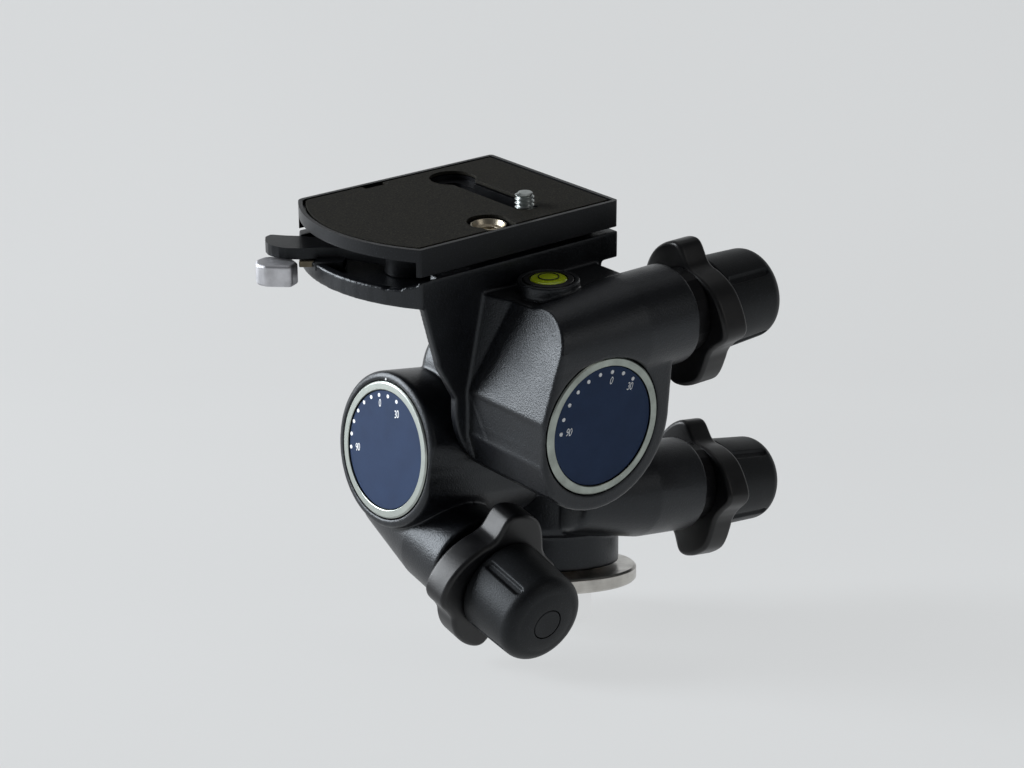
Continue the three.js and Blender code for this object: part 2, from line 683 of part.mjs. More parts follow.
/** Adds a dial that looks down the axis towards its negative end, with its face at `face`. */
function addDial(parent, letter, axis, face, centre) {
  const back = face + DIAL_T;
  const plateFace = back - DIAL_BACK_T;
  const profile = [
    [DIAL_DISC_R, face],
    [DIAL_RING_R - DIAL_BEVEL, face],
    [DIAL_RING_R, face + DIAL_BEVEL],
    [DIAL_RING_R, plateFace - GAP],
    [DIAL_DISC_R, plateFace - GAP],
    [DIAL_DISC_R, face],
  ];
  parent.add(piece("dial_ring_" + letter, turned(axis, profile, centre, BODY_SIDES), "satin"));
  const disc = union(
    rod(axis, DIAL_DISC_R - GAP, face + DIAL_RING_LIP, back, centre, BODY_SIDES),
    rod(axis, DIAL_RING_R, plateFace, back, centre, BODY_SIDES),
    rod(axis, DIAL_STUD_R, plateFace, back + DIAL_STUD_LENGTH, centre, SMALL_SIDES),
  );
  parent.add(piece("dial_disc_" + letter, disc, "navy"));
}

/** Shaft from its dial end to its bolted end, with a hole in each. */
function shaftSolid(axis, dialEnd, boltEnd, centre) {
  const studEnd = dialEnd + DIAL_STUD_LENGTH + GAP;
  const boltStart = boltEnd - SHAFT_BOLT_DEPTH - GAP;
  const stud = rod(axis, DIAL_STUD_R + GAP, dialEnd - OVERRUN, studEnd, centre, SMALL_SIDES);
  const bolt = rod(axis, SHAFT_BOLT_R + GAP, boltStart, boltEnd + OVERRUN, centre, SMALL_SIDES);
  return cut(rod(axis, SHAFT_R, dialEnd, boltEnd, centre, SMALL_SIDES), stud, bolt);
}

/** Hexagon of the given corner radius round (a, b). */
function hexagon([a, b], radius) {
  const last = HEX_SIDES - 1;
  return arc(a, b, radius, 0, (2 * Math.PI * last) / HEX_SIDES, last);
}

/** Hexagon-socket bolt with its head's underside at `seat`. */
function boltSolid(axis, seat, centre) {
  const top = seat + BOLT_HEAD_T;
  const body = union(
    rod(axis, BOLT_HEAD_R, seat, top, centre, PIN_SIDES, [0, GAP]),
    rod(axis, SHAFT_BOLT_R, seat - SHAFT_BOLT_DEPTH, seat + GAP, centre, PIN_SIDES),
  );
  return cut(body, prism(axis, hexagon(centre, BOLT_HEAD_R / 2), top - BOLT_HEAD_T / 2, top + OVERRUN));
}

const centreA = [AXIS_A_Y, AXIS_A_Z];
const centreB = [AXIS_B_Z, AXIS_B_X];

// Base: the disc that screws onto the tripod, with the fixed spindle and the pan gear

function addBase(parent) {
  const disc = turned("z", [
    [BASE_BORE_R, 0],
    [BASE_R - BASE_CHAMFER, 0],
    [BASE_R, BASE_CHAMFER],
    [BASE_R, BASE_T - BASE_CHAMFER],
    [BASE_R - BASE_CHAMFER, BASE_T],
    [BASE_BORE_R, BASE_T],
    [BASE_BORE_R, 0],
  ], [0, 0], BODY_SIDES);
  const spindleZ = BASE_T + GAP;
  const spindle = cut(
    union(
      rod("z", SPINDLE_FOOT_R, spindleZ, FLANGE_Z + OVERRUN),
      rod("z", FLANGE_R, FLANGE_Z, FLANGE_Z + FLANGE_T),
      rod("z", SPINDLE_SHOULDER_R, FLANGE_Z, GEAR_2_Z - GEAR_WIDTH / 2 - GAP),
      rod("z", SPINDLE_R, FLANGE_Z, SPINDLE_TOP_Z, [0, 0], SMALL_SIDES),
    ),
    rod("z", BASE_BORE_R, spindleZ - OVERRUN, INSERT_T + GAP, [0, 0], SMALL_SIDES),
    rod("z", SPINDLE_BORE_R, spindleZ, INSERT_T + SPINDLE_BORE_DEPTH, [0, 0], SMALL_SIDES),
  );
  const discTools = [];
  const spindleTools = [];
  for (let k = 0; k < BASE_SCREWS; k++) {
    const angle = (2 * Math.PI * k) / BASE_SCREWS;
    const at = [BASE_SCREW_CIRCLE * Math.cos(angle), BASE_SCREW_CIRCLE * Math.sin(angle)];
    const bottom = GAP;
    const headTop = bottom + BASE_SCREW_HEAD_T;
    const screw = turned("z", [
      [0, bottom],
      [BASE_SCREW_HEAD_R, bottom],
      [BASE_SCREW_R, headTop],
      [BASE_SCREW_R, bottom + BASE_SCREW_LENGTH],
      [0, bottom + BASE_SCREW_LENGTH],
    ], at, PIN_SIDES);
    parent.add(piece("base_screw_" + (k + 1), screw, "steel"));
    const slackR = BASE_SCREW_R + GAP;
    const sink = turned("z", [
      [0, -OVERRUN],
      [BASE_SCREW_HEAD_R + GAP, -OVERRUN],
      [BASE_SCREW_HEAD_R + GAP, bottom],
      [slackR, headTop + GAP],
      [slackR, BASE_T + OVERRUN],
      [0, BASE_T + OVERRUN],
    ], at, PIN_SIDES);
    discTools.push(sink);
    spindleTools.push(rod("z", slackR, spindleZ - OVERRUN, bottom + BASE_SCREW_LENGTH + GAP, at, PIN_SIDES));
  }
  parent.add(piece("base_disc", cut(disc, ...discTools), "brushed"));
  parent.add(piece("pan_spindle", cut(spindle, ...spindleTools), "steel"));
  const insert = ring("z", INSERT_R, INSERT_BORE_R, GAP, INSERT_T, [0, 0], SMALL_SIDES);
  parent.add(piece("thread_insert", insert, "steel"));
  const nutZ = GEAR_2_Z + GEAR_WIDTH / 2 + GAP;
  const nut = cut(
    prism("z", hexagon([0, 0], GEAR_NUT_R), nutZ, nutZ + GEAR_NUT_T),
    rod("z", SPINDLE_R + GAP, nutZ - OVERRUN, nutZ + GEAR_NUT_T + OVERRUN, [0, 0], SMALL_SIDES),
  );
  parent.add(piece("pan_gear_nut", nut, "steel"));
  addGear(parent, drives[1], "pan_gear", SPINDLE_R);
}

// Pan housing: neck, body, the pan worm's tunnel and the arm that carries shaft A

/** Saddle that rises from the body to the arm, within the body's own round. */
function saddleSolid() {
  const [top, low] = [Math.PI / 3, Math.PI];
  const overArm = arc(AXIS_A_Y, AXIS_A_Z, ARM_R, top, low, 8);
  const outline = [[-BODY_R, SADDLE_Z], [BODY_R, SADDLE_Z], [BODY_R, BODY_TOP_Z - BODY_ROUND], ...overArm];
  const ends = prism("x", outline, ARM_X0, ARM_X1);
  return ends.intersect(rod("z", BODY_R, BODY_Z, TOP_Z, [0, 0], BODY_SIDES));
}

function panHousingSolid(drive) {
  const neck = rod("z", NECK_R, NECK_Z, BODY_Z + OVERRUN, [0, 0], BODY_SIDES, [GAP, 0]);
  const body = rod("z", BODY_R, BODY_Z, BODY_TOP_Z, [0, 0], BODY_SIDES, [BODY_ROUND, BODY_ROUND]);
  const arm = rod("x", ARM_R, ARM_X0, ARM_X1, centreA, BODY_SIDES, [GAP, ARM_ROUND]);
  const tunnel = moved(tunnelSolid(drive), drive.frame);
  const ledgeZ = FLANGE_Z + FLANGE_T + GAP;
  const gearTopZ = GEAR_2_Z + GEAR_WIDTH / 2 + 2 * GAP;
  const seat = ARM_X1 - BOLT_HEAD_T - GAP;
  const washerFace = box(-BODY_R - OVERRUN, ARM_X0, -BODY_R, BODY_R, BODY_Z, TOP_Z);
  const tools = [
    washerFace,
    rod("z", PAN_CAVITY_R, NECK_Z - OVERRUN, ledgeZ),
    rod("z", GEAR_CAVITY_R, ledgeZ - OVERRUN, gearTopZ),
    rod("z", NUT_CAVITY_R, gearTopZ - OVERRUN, SPINDLE_TOP_Z + OVERRUN, [0, 0], SMALL_SIDES),
    rod("x", SHAFT_R + GAP, ARM_X0 - OVERRUN, SHAFT_A_X1 + GAP, centreA, SMALL_SIDES),
    rod("x", SHAFT_BOLT_R + GAP, SHAFT_A_X1, seat + OVERRUN, centreA, SMALL_SIDES),
    rod("x", BOLT_HEAD_R + GAP, seat, ARM_X1 + OVERRUN, centreA, SMALL_SIDES),
    moved(tunnelBore(drive), drive.frame),
  ];
  return cut(union(neck, body, arm, saddleSolid(), tunnel), ...tools);
}

function addPan(parent) {
  const drive = drives[1];
  parent.add(piece("pan_housing", panHousingSolid(drive), "casting"));
  const retainer = ring("z", PAN_CAVITY_R - GAP, SPINDLE_FOOT_R + GAP, RETAINER_Z, RETAINER_Z + RETAINER_T);
  parent.add(piece("pan_retainer", retainer, "bronze"));
  const dialEnd = DIAL_A_X + DIAL_T + GAP;
  parent.add(piece("shaft_a", shaftSolid("x", dialEnd, SHAFT_A_X1, centreA), "steel"));
  const seat = ARM_X1 - BOLT_HEAD_T;
  parent.add(piece("shaft_a_bolt", boltSolid("x", seat, centreA), "steel"));
  const washerX = HOUSING_A_X1 + GAP;
  const washer = ring("x", WASHER_R, SHAFT_R + GAP, washerX, washerX + WASHER_T, centreA);
  parent.add(piece("washer_a", washer, "bronze"));
  addGear(parent, drives[0], "gear_a", SHAFT_R);
  addDial(parent, "a", "x", DIAL_A_X, centreA);
  addDrive(parent, drive);
}

// First tilt housing: round housing behind dial A, worm tunnel below it, boss for shaft B

const WEB_Y = PLATE_Y0 + WEB_T; // inner face of the web
const BOSS_FACE_Y = WEB_Y + GAP;

function tiltHousingSolid(drive) {
  const frontX = DIAL_A_X + DIAL_RIM_STEP;
  const round = [HOUSING_A_ROUND, HOUSING_A_ROUND];
  const barrel = rod("x", HOUSING_A_R, frontX, HOUSING_A_X1, centreA, BODY_SIDES, round);
  const boss = rod("y", BOSS_B_R, BOSS_FACE_Y, BOSS_B_Y1, centreB, BODY_SIDES, [GAP, BOSS_B_ROUND]);
  const tunnel = moved(tunnelSolid(drive), drive.frame);
  const pocketX = DIAL_A_X + DIAL_T + GAP;
  const boltSeat = BOSS_B_Y1 - BOLT_HEAD_T - GAP;
  const washerY = BOSS_FACE_Y + WASHER_T + GAP;
  const flat = box(
    frontX - OVERRUN,
    ARM_X0,
    AXIS_A_Y - 2 * HOUSING_A_R,
    BOSS_FACE_Y,
    AXIS_A_Z - HOUSING_A_R / 2,
    TOP_Z,
  );
  const tools = [
    rod("x", DIAL_POCKET_R, frontX - OVERRUN, pocketX, centreA, BODY_SIDES),
    rod("x", GEAR_CAVITY_R, pocketX - OVERRUN, GEAR_1_X + GEAR_WIDTH / 2 + GAP, centreA, SIDES),
    rod("x", SHAFT_R + GAP, GEAR_1_X, HOUSING_A_X1 + OVERRUN, centreA, SMALL_SIDES),
    rod("y", WASHER_B_R + GAP, BOSS_FACE_Y - OVERRUN, washerY, centreB, SIDES),
    rod("y", SHAFT_R + GAP, BOSS_FACE_Y, SHAFT_B_Y1 + GAP, centreB, SMALL_SIDES),
    rod("y", SHAFT_BOLT_R + GAP, SHAFT_B_Y1, boltSeat + OVERRUN, centreB, SMALL_SIDES),
    rod("y", BOLT_HEAD_R + GAP, boltSeat, BOSS_B_Y1 + OVERRUN, centreB, SMALL_SIDES),
    moved(tunnelBore(drive), drive.frame),
    flat,
  ];
  return cut(union(barrel, boss, tunnel), ...tools);
}

function addFirstTilt(parent) {
  const drive = drives[0];
  parent.add(piece("tilt_housing", tiltHousingSolid(drive), "casting"));
  const dialEnd = DIAL_B_Y + DIAL_T + GAP;
  parent.add(piece("shaft_b", shaftSolid("y", dialEnd, SHAFT_B_Y1, centreB), "steel"));
  parent.add(piece("shaft_b_bolt", boltSolid("y", BOSS_B_Y1 - BOLT_HEAD_T, centreB), "steel"));
  const washer = ring("y", WASHER_B_R, SHAFT_R + GAP, BOSS_FACE_Y, BOSS_FACE_Y + WASHER_T, centreB);
  parent.add(piece("washer_b", washer, "bronze"));
  addGear(parent, drives[2], "gear_b", SHAFT_R);
  addDial(parent, "b", "y", DIAL_B_Y, centreB);
  addDrive(parent, drive);
}

// Second tilt body: faceted block, web and plate receiver in one casting

/** Outline of plate and receiver seen from above, its -X end curved, drawn in by `inset`. */
function plateOutline(inset, endInset = inset) {
  const radius = BULGE_R - endInset;
  const swing = Math.asin((HALF_WIDTH - inset) / radius);
  const end = arc(BULGE_X, BULGE_Y, radius, Math.PI - swing, Math.PI + swing, 12);
  return [[PLATE_X1 - inset, PLATE_Y0 + inset], [PLATE_X1 - inset, PLATE_Y1 - inset], ...end];
}

/** The faceted block and its hub: two flat facets on the left, the hub's round below. */
function blockSolid() {
  const hub = arc(AXIS_B_X, AXIS_B_Z, HUB_R, HUB_START, 2 * Math.PI, 16);
  const outline = [
    ...hub,
    [BLOCK_X1, BLOCK_CHEEK_Z],
    [BLOCK_X1, BLOCK_TOP_Z],
    [BLOCK_SHOULDER_X, BLOCK_TOP_Z],
    [BLOCK_RIDGE_X, BLOCK_RIDGE_Z],
    [BLOCK_RIDGE_X, BLOCK_LOW_Z],
  ];
  const facets = prism("y", outline.map(([x, z]) => [z, x]), BLOCK_Y0, PLATE_Y0 + OVERRUN, BLOCK_BEVEL);
  const [sleeveY, sleeveZ] = [GEAR_3_Y - SLEEVE_OFFSET, AXIS_B_Z + DRIVE_CENTRES + SLEEVE_OFFSET];
  const frontR = sleeveY - BLOCK_Y0;
  const side = [
    [BLOCK_Y0, AXIS_B_Z - HUB_R - OVERRUN],
    [PLATE_Y0 + OVERRUN, AXIS_B_Z - HUB_R - OVERRUN],
    [PLATE_Y0 + OVERRUN, BLOCK_TOP_Z],
    ...arc(sleeveY, sleeveZ, frontR, Math.PI / 2, Math.PI, 8),
  ];
  return facets.intersect(prism("x", side, BLOCK_RIDGE_X - OVERRUN, BLOCK_X1 + OVERRUN));
}

/** What lies beyond the upper facet, which cuts the tunnel's closed end too. */
function beyondFacet() {
  const slope = (BLOCK_SHOULDER_X - BLOCK_RIDGE_X) / (BLOCK_TOP_Z - BLOCK_RIDGE_Z);
  const farX = BLOCK_RIDGE_X - HUB_R;
  const outline = [
    [BLOCK_RIDGE_Z, BLOCK_RIDGE_X],
    [TOP_Z, BLOCK_RIDGE_X + slope * (TOP_Z - BLOCK_RIDGE_Z)],
    [TOP_Z, farX],
    [BLOCK_RIDGE_Z, farX],
  ];
  return prism("y", outline, BLOCK_Y0 - TUNNEL_R, PLATE_Y0);
}

/** Gusset in the corner between the web and the upper facet, wider towards the top. */
function gussetSolid() {
  const inside = PLATE_Y0 + WEB_T / 2;
  return wasm.Manifold.hull([
    [BLOCK_RIDGE_X, PLATE_Y0, BLOCK_RIDGE_Z],
    [GUSSET_X, PLATE_Y0, BLOCK_TOP_Z],
    [BLOCK_SHOULDER_X, GUSSET_Y, BLOCK_TOP_Z],
    [AXIS_B_X, inside, BLOCK_TOP_Z],
    [AXIS_B_X, inside, BLOCK_RIDGE_Z],
  ]);
}

/** The flat web between the receiver and the block's hub. */
function webSolid() {
  const hub = rod("y", HUB_R, PLATE_Y0, WEB_Y, centreB, BODY_SIDES);
  const points = [
    [RECEIVER_Z + OVERRUN, WEB_TOP_X],
    [RECEIVER_Z, WEB_TOP_X],
    [WEB_KNEE_Z, WEB_KNEE_X],
    [WEB_LOW_Z, WEB_LOW_X],
    [AXIS_B_Z, AXIS_B_X],
    [AXIS_B_Z, AXIS_B_X + HUB_R],
    [RECEIVER_Z + OVERRUN, WEB_RIGHT_X],
  ];
  return union(hub, prism("y", points, PLATE_Y0, WEB_Y));
}

/** Receiver for the camera plate: a floor, three rails and a low wall at the curved end. */
function receiverSolid() {
  const floorZ = RECEIVER_Z + RECEIVER_FLOOR_T;
  const lipZ = RECEIVER_Z + END_LIP_H;
  const tray = prism("z", plateOutline(0), RECEIVER_Z, RECEIVER_TOP_Z);
  const well = box(
    PLATE_X0 - END_BULGE - OVERRUN,
    PLATE_X1 - RAIL_W,
    PLATE_Y0 + RAIL_W,
    PLATE_Y1 - RAIL_W,
    lipZ,
    RECEIVER_TOP_Z + OVERRUN,
  );
  const deepWell = prism("z", plateOutline(RAIL_W, END_LIP_W), floorZ, lipZ + OVERRUN);
  const pivot = [PIVOT_X, PIVOT_Y];
  const pivotBore = rod("z", PIVOT_R + GAP, RECEIVER_Z - OVERRUN, floorZ + OVERRUN, pivot, SMALL_SIDES);
  return cut(tray, well, deepWell, pivotBore);
}

function headCastingSolid(drive) {
  const level = [LEVEL_X, LEVEL_Y];
  const tunnel = moved(tunnelSolid(drive, BLOCK_RIDGE_X - AXIS_B_X), drive.frame);
  const boss = rod("z", LEVEL_BOSS_R, BLOCK_TOP_Z - VIAL_T, LEVEL_TOP_Z, level, SIDES, [0, GAP]);
  const pocketY = DIAL_B_Y + DIAL_T + GAP;
  const tools = [
    rod("z", BEZEL_R + GAP, LEVEL_TOP_Z - VIAL_T - GAP, LEVEL_TOP_Z + OVERRUN, level, SMALL_SIDES),
    rod("y", DIAL_POCKET_R, BLOCK_Y0 - TUNNEL_R, pocketY, centreB, BODY_SIDES),
    rod("y", GEAR_CAVITY_R, pocketY - OVERRUN, GEAR_3_Y + GEAR_WIDTH / 2 + GAP, centreB, SIDES),
    rod("y", SHAFT_R + GAP, GEAR_3_Y, WEB_Y + OVERRUN, centreB, SMALL_SIDES),
    moved(tunnelBore(drive), drive.frame),
  ];
  const block = cut(union(blockSolid(), tunnel), beyondFacet());
  return cut(union(receiverSolid(), webSolid(), gussetSolid(), block, boss), ...tools);
}

function addSecondTilt(parent) {
  const drive = drives[2];
  parent.add(piece("head_casting", headCastingSolid(drive), "casting"));
  const level = [LEVEL_X, LEVEL_Y];
  const vialZ = LEVEL_TOP_Z - VIAL_T;
  const vial = rod("z", VIAL_R - GAP, vialZ, LEVEL_TOP_Z - GAP, level, SMALL_SIDES, [0, GAP]);
  parent.add(piece("level_vial", vial, "vial"));
  const bezel = ring("z", BEZEL_R, VIAL_R, vialZ, LEVEL_TOP_Z + GAP, level, SMALL_SIDES);
  parent.add(piece("level_bezel", bezel, "plastic"));
  addClamp(parent);
  addDrive(parent, drive);
}

// Quick release: a lever with a cam on a pivot screw, and the bare metal catch under its end

function addClamp(parent) {
  const pivot = [PIVOT_X, PIVOT_Y];
  const finger = [FINGER_X, FINGER_Y];
  const floorZ = RECEIVER_Z + RECEIVER_FLOOR_T;
  const armZ = RECEIVER_Z + END_LIP_H + GAP;
  const armTop = armZ + LEVER_ARM_T;
  const along = Math.atan2(FINGER_Y - PIVOT_Y, FINGER_X - PIVOT_X);
  const [sideX, sideY] = [(ARM_WIDTH / 2) * Math.sin(along), (ARM_WIDTH / 2) * Math.cos(along)];
  const bar = [
    [PIVOT_X + sideX, PIVOT_Y - sideY],
    [FINGER_X + sideX, FINGER_Y - sideY],
    [FINGER_X - sideX, FINGER_Y + sideY],
    [PIVOT_X - sideX, PIVOT_Y + sideY],
  ];
  const lever = cut(
    union(
      prism("z", bar, armZ, armTop),
      rod("z", FINGER_R, armZ, armTop, finger, SIDES, [0, GAP]),
      rod("z", CAM_R, floorZ + GAP, armTop, pivot, SIDES),
    ),
    rod("z", PIVOT_R + GAP, floorZ, armTop + OVERRUN, pivot, PIN_SIDES),
    rod("z", PIVOT_HEAD_R + GAP, armTop - PIVOT_HEAD_T - GAP, armTop + OVERRUN, pivot, PIN_SIDES),
  );
  parent.add(piece("clamp_lever", lever, "casting"));
  const screw = union(
    rod("z", PIVOT_R, RECEIVER_Z, armTop, pivot, PIN_SIDES),
    rod("z", PIVOT_HEAD_R, armTop - PIVOT_HEAD_T, armTop, pivot, PIN_SIDES),
  );
  parent.add(piece("clamp_pivot", screw, "steel"));
  const catchZ = armZ - GAP - CATCH_HEIGHT;
  const outward = Math.atan2(CATCH_Y - BULGE_Y, FINGER_X - BULGE_X);
  const near = BULGE_R + GAP;
  const far = near + CATCH_WIDTH;
  const side = CATCH_LENGTH / 2;
  const block = prism("z", [
    [near, -side],
    [far - CATCH_ROUND, -side],
    [far, CATCH_ROUND - side],
    [far, side - CATCH_ROUND],
    [far - CATCH_ROUND, side],
    [near, side],
  ], 0, CATCH_HEIGHT, GAP);
  const turn = new THREE.Matrix4().makeRotationZ(outward).setPosition(BULGE_X, BULGE_Y, catchZ);
  parent.add(piece("safety_catch", moved(block, turn), "zinc"));
}

// Camera plate with its pad and screws

function plateSolid() {
  const bottom = TOP_Z - PLATE_T;
  const slab = prism("z", plateOutline(0), bottom, TOP_Z, PLATE_BEVEL);
  const footInset = RAIL_W + GAP;
  const footZ = RECEIVER_Z + RECEIVER_FLOOR_T + GAP;
  const foot = box(
    PIVOT_X + CAM_R + GAP,
    PLATE_X1 - footInset,
    PLATE_Y0 + footInset,
    PLATE_Y1 - footInset,
    footZ,
    bottom + OVERRUN,
  );
  const padSeat = prism("z", plateOutline(PLATE_LIP_W), TOP_Z - PAD_DEPTH, TOP_Z + OVERRUN);
  const under = footZ - OVERRUN;
  const middle = TOP_Z - PLATE_T / 2;
  const headR = SCREW_HEAD_R + GAP;
  const tools = [
    padSeat,
    slotSolid(SLOT_R, SLOT_R, under, TOP_Z),
    slotSolid(headR, headR, under, middle),
    rod("z", SLOT_EYE_R, TOP_Z - SLOT_EYE_DEPTH, TOP_Z, [SLOT_X, SLOT_Y1], SMALL_SIDES),
    rod("z", SPARE_RECESS_R, TOP_Z - SPARE_HEAD_T - GAP, TOP_Z + OVERRUN, [SPARE_X, SPARE_Y], SIDES),
    rod("z", SPARE_SHANK_R + GAP, under, TOP_Z, [SPARE_X, SPARE_Y], SMALL_SIDES),
  ];
  return cut(union(slab, foot), ...tools);
}

/** Slot for the camera screw, with its own radius at the eye end. */
function slotSolid(radius, eyeR, start, end) {
  return union(
    rod("z", radius, start, end, [SLOT_X, SLOT_Y0], SMALL_SIDES),
    rod("z", eyeR, start, end, [SLOT_X, SLOT_Y1], SMALL_SIDES),
    box(SLOT_X - radius, SLOT_X + radius, SLOT_Y0, SLOT_Y1, start, end),
  );
}

function addPlate(parent) {
  parent.add(piece("camera_plate", plateSolid(), "casting"));
  const padZ = TOP_Z - PAD_DEPTH + GAP;
  const [under, over] = [padZ - OVERRUN, TOP_Z + OVERRUN];
  const pad = cut(
    prism("z", plateOutline(PLATE_LIP_W + GAP), padZ, TOP_Z),
    slotSolid(SLOT_PAD_R, SLOT_EYE_R, under, over),
    rod("z", SPARE_RECESS_R, under, over, [SPARE_X, SPARE_Y], SIDES),
    box(NOTCH_X - NOTCH_W / 2, NOTCH_X + NOTCH_W / 2, PLATE_Y1 - NOTCH_D, PLATE_Y1, under, over),
  );
  parent.add(piece("plate_pad", pad, "cork"));
  const headTop = TOP_Z - PLATE_T / 2 - GAP;
  const at = [SLOT_X, SLOT_Y0];
  const screw = union(
    rod("z", SCREW_HEAD_R, headTop - SCREW_HEAD_T, headTop, at, SIDES),
    rod("z", SCREW_R, headTop - GAP, TOP_Z + SCREW_PROUD, at, PIN_SIDES, [0, GAP * 2]),
  );
  parent.add(piece("camera_screw", screw, "steel"));
  const spareTop = TOP_Z - GAP;
  const spareZ = TOP_Z - SPARE_HEAD_T;
  const spare = union(
    rod("z", SPARE_HEAD_R, spareZ, spareTop, [SPARE_X, SPARE_Y], SIDES),
    rod("z", SPARE_SHANK_R, TOP_Z - PLATE_T, spareTop - GAP, [SPARE_X, SPARE_Y], PIN_SIDES),
  );
  parent.add(piece("spare_screw", spare, "steel"));
}

const head = new THREE.Group();
addBase(head);
addPan(head);
const firstTilt = tilted(head, new THREE.Vector3(0, AXIS_A_Y, AXIS_A_Z), "x", TILT_A);
addFirstTilt(firstTilt);
const secondTilt = tilted(firstTilt, new THREE.Vector3(AXIS_B_X, 0, AXIS_B_Z), "y", -TILT_B);
addSecondTilt(secondTilt);
addPlate(secondTilt);

export default head;
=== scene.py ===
import json
import math

import bmesh
import bpy
import numpy as np
from mathutils import Matrix, Vector


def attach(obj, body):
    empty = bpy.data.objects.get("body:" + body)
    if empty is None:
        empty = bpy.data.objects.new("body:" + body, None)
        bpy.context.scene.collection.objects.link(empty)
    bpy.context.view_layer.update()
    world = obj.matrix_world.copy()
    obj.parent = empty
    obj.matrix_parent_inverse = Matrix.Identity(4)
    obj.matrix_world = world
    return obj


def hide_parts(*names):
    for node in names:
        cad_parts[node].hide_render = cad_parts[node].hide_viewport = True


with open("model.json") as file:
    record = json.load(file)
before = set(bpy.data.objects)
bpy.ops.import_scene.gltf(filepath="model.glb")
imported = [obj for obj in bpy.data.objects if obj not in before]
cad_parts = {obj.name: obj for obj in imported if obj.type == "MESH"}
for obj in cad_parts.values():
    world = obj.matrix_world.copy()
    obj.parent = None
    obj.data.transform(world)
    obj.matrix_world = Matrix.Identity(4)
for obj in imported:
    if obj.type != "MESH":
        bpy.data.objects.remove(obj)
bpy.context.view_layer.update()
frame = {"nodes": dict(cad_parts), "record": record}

# Level coordinates are millimetres with +Z up, as in the solids; each group turns them to the pose of the head.
AXIS_A = (0.0, -10.2, 51.3)
AXIS_B = (-43.9, 0.0, 76.4)
TILT_A = math.radians(11.8)
TILT_B = math.radians(9.8)
DROOP_1 = math.radians(10.2)
MM = 0.001


def about(point, axis, angle):
    return Matrix.Translation(point) @ Matrix.Rotation(angle, 4, axis) @ Matrix.Translation(-Vector(point))


PAN = Matrix.Identity(4)
MID = about(AXIS_A, "X", TILT_A)
TOP = MID @ about(AXIS_B, "Y", -TILT_B)
GROUPS = {"pan": PAN, "mid": MID, "top": TOP}

nodes = frame["nodes"]


def drive(origin, out, gear_axis, reach, side, group, clock):
    x, y = np.array(out, float), np.array(gear_axis, float)
    return {"o": np.array(origin, float), "x": x, "y": y, "z": np.cross(x, y), "reach": reach, "side": side,
            "group": group, "clock": clock}


DRIVES = {
    1: drive((-58.6, AXIS_A[1], AXIS_A[2]), (0, -math.cos(DROOP_1), -math.sin(DROOP_1)), (-1, 0, 0), 49.0, -1,
             "mid", math.pi / 2),
    2: drive((0, 0, 29.2), (1, 0, 0), (0, 0, 1), 52.6, 1, "pan", 0.0),
    3: drive((AXIS_B[0], -59, AXIS_B[2]), (1, 0, 0), (0, 1, 0), 51.5, -1, "top", math.pi / 2),
}
CENTRES = 22.0
OFFSET = 1.8
GAP = 0.3
LEVER_THICK = 9.7
COLLAR_T = 5.6
FACE_A = -75.0
FACE_B = -73.1
LEVEL_AT = (-44.0, -47.6)
CLAMP_AT = (-69, -13)

# The photograph's camera: degrees, millimetres, and the focal length in pixels of a picture 1024 wide
VIEW = {"turn": -39.756, "pitch": 6.842, "distance": 796.74, "across": -11.575, "height": 65.165, "focal": 2400}
PHOTO_WIDTH = 1024


def drive_matrix(d):
    m = Matrix.Identity(4)
    for i in range(3):
        m[i][0], m[i][1], m[i][2], m[i][3] = d["x"][i], d["y"][i], d["z"][i], d["o"][i]
    return m


def mouth(d):
    return d["reach"] - LEVER_THICK - GAP - COLLAR_T - GAP


# ---------------------------------------------------------------- materials


class Look:
    """A node material with a few short ways to wire it."""

    def __init__(self, name):
        self.mat = bpy.data.materials.new(name)
        self.mat.use_nodes = True
        self.tree = self.mat.node_tree
        self.bsdf = self.tree.nodes["Principled BSDF"]
        self.coords = None

    def node(self, kind, **inputs):
        n = self.tree.nodes.new(kind)
        for key, value in inputs.items():
            self.feed(n.inputs[key.replace("_", " ")], value)
        return n

    def feed(self, socket, value):
        if isinstance(value, bpy.types.NodeSocket):
            self.tree.links.new(value, socket)
        else:
            socket.default_value = value

    def position(self):
        if self.coords is None:
            self.coords = self.node("ShaderNodeTexCoord").outputs["Object"]
        return self.coords

    def noise(self, size, detail=3.0, rough=0.55, vector=None):
        """Noise whose features are about `size` millimetres across."""
        n = self.node("ShaderNodeTexNoise", Vector=vector or self.position(), Scale=1.0 / (size * MM),
                      Detail=detail, Roughness=rough)
        return n.outputs["Fac"]

    def cells(self, size):
        n = self.node("ShaderNodeTexVoronoi", Vector=self.position(), Scale=1.0 / (size * MM))
        return n.outputs["Distance"]

    def span(self, value, low, high, frm=0.0, to=1.0):
        n = self.node("ShaderNodeMapRange", Value=value)
        for key, v in (("From Min", frm), ("From Max", to), ("To Min", low), ("To Max", high)):
            n.inputs[key].default_value = v
        return n.outputs["Result"]

    def mix(self, factor, a, b):
        n = self.tree.nodes.new("ShaderNodeMix")
        n.data_type = "RGBA"
        self.feed(n.inputs["Factor"], factor)
        self.feed(n.inputs[6], a)
        self.feed(n.inputs[7], b)
        return n.outputs[2]

    def bump(self, height, depth, strength=1.0, onto=None):
        """Bump of about `depth` millimetres."""
        n = self.node("ShaderNodeBump", Height=height, Strength=strength, Distance=depth * MM)
        if onto is not None:
            self.feed(n.inputs["Normal"], onto)
        return n.outputs["Normal"]

    def done(self, **values):
        for key, value in values.items():
            self.feed(self.bsdf.inputs[key.replace("_", " ")], value)
        return self.mat


def shade(r, g, b):
    """Linear colour of an sRGB one, given as 0 to 255."""
    return tuple(((c / 255 + 0.055) / 1.055) ** 2.4 if c > 10 else c / 255 / 12.92 for c in (r, g, b)) + (1.0,)


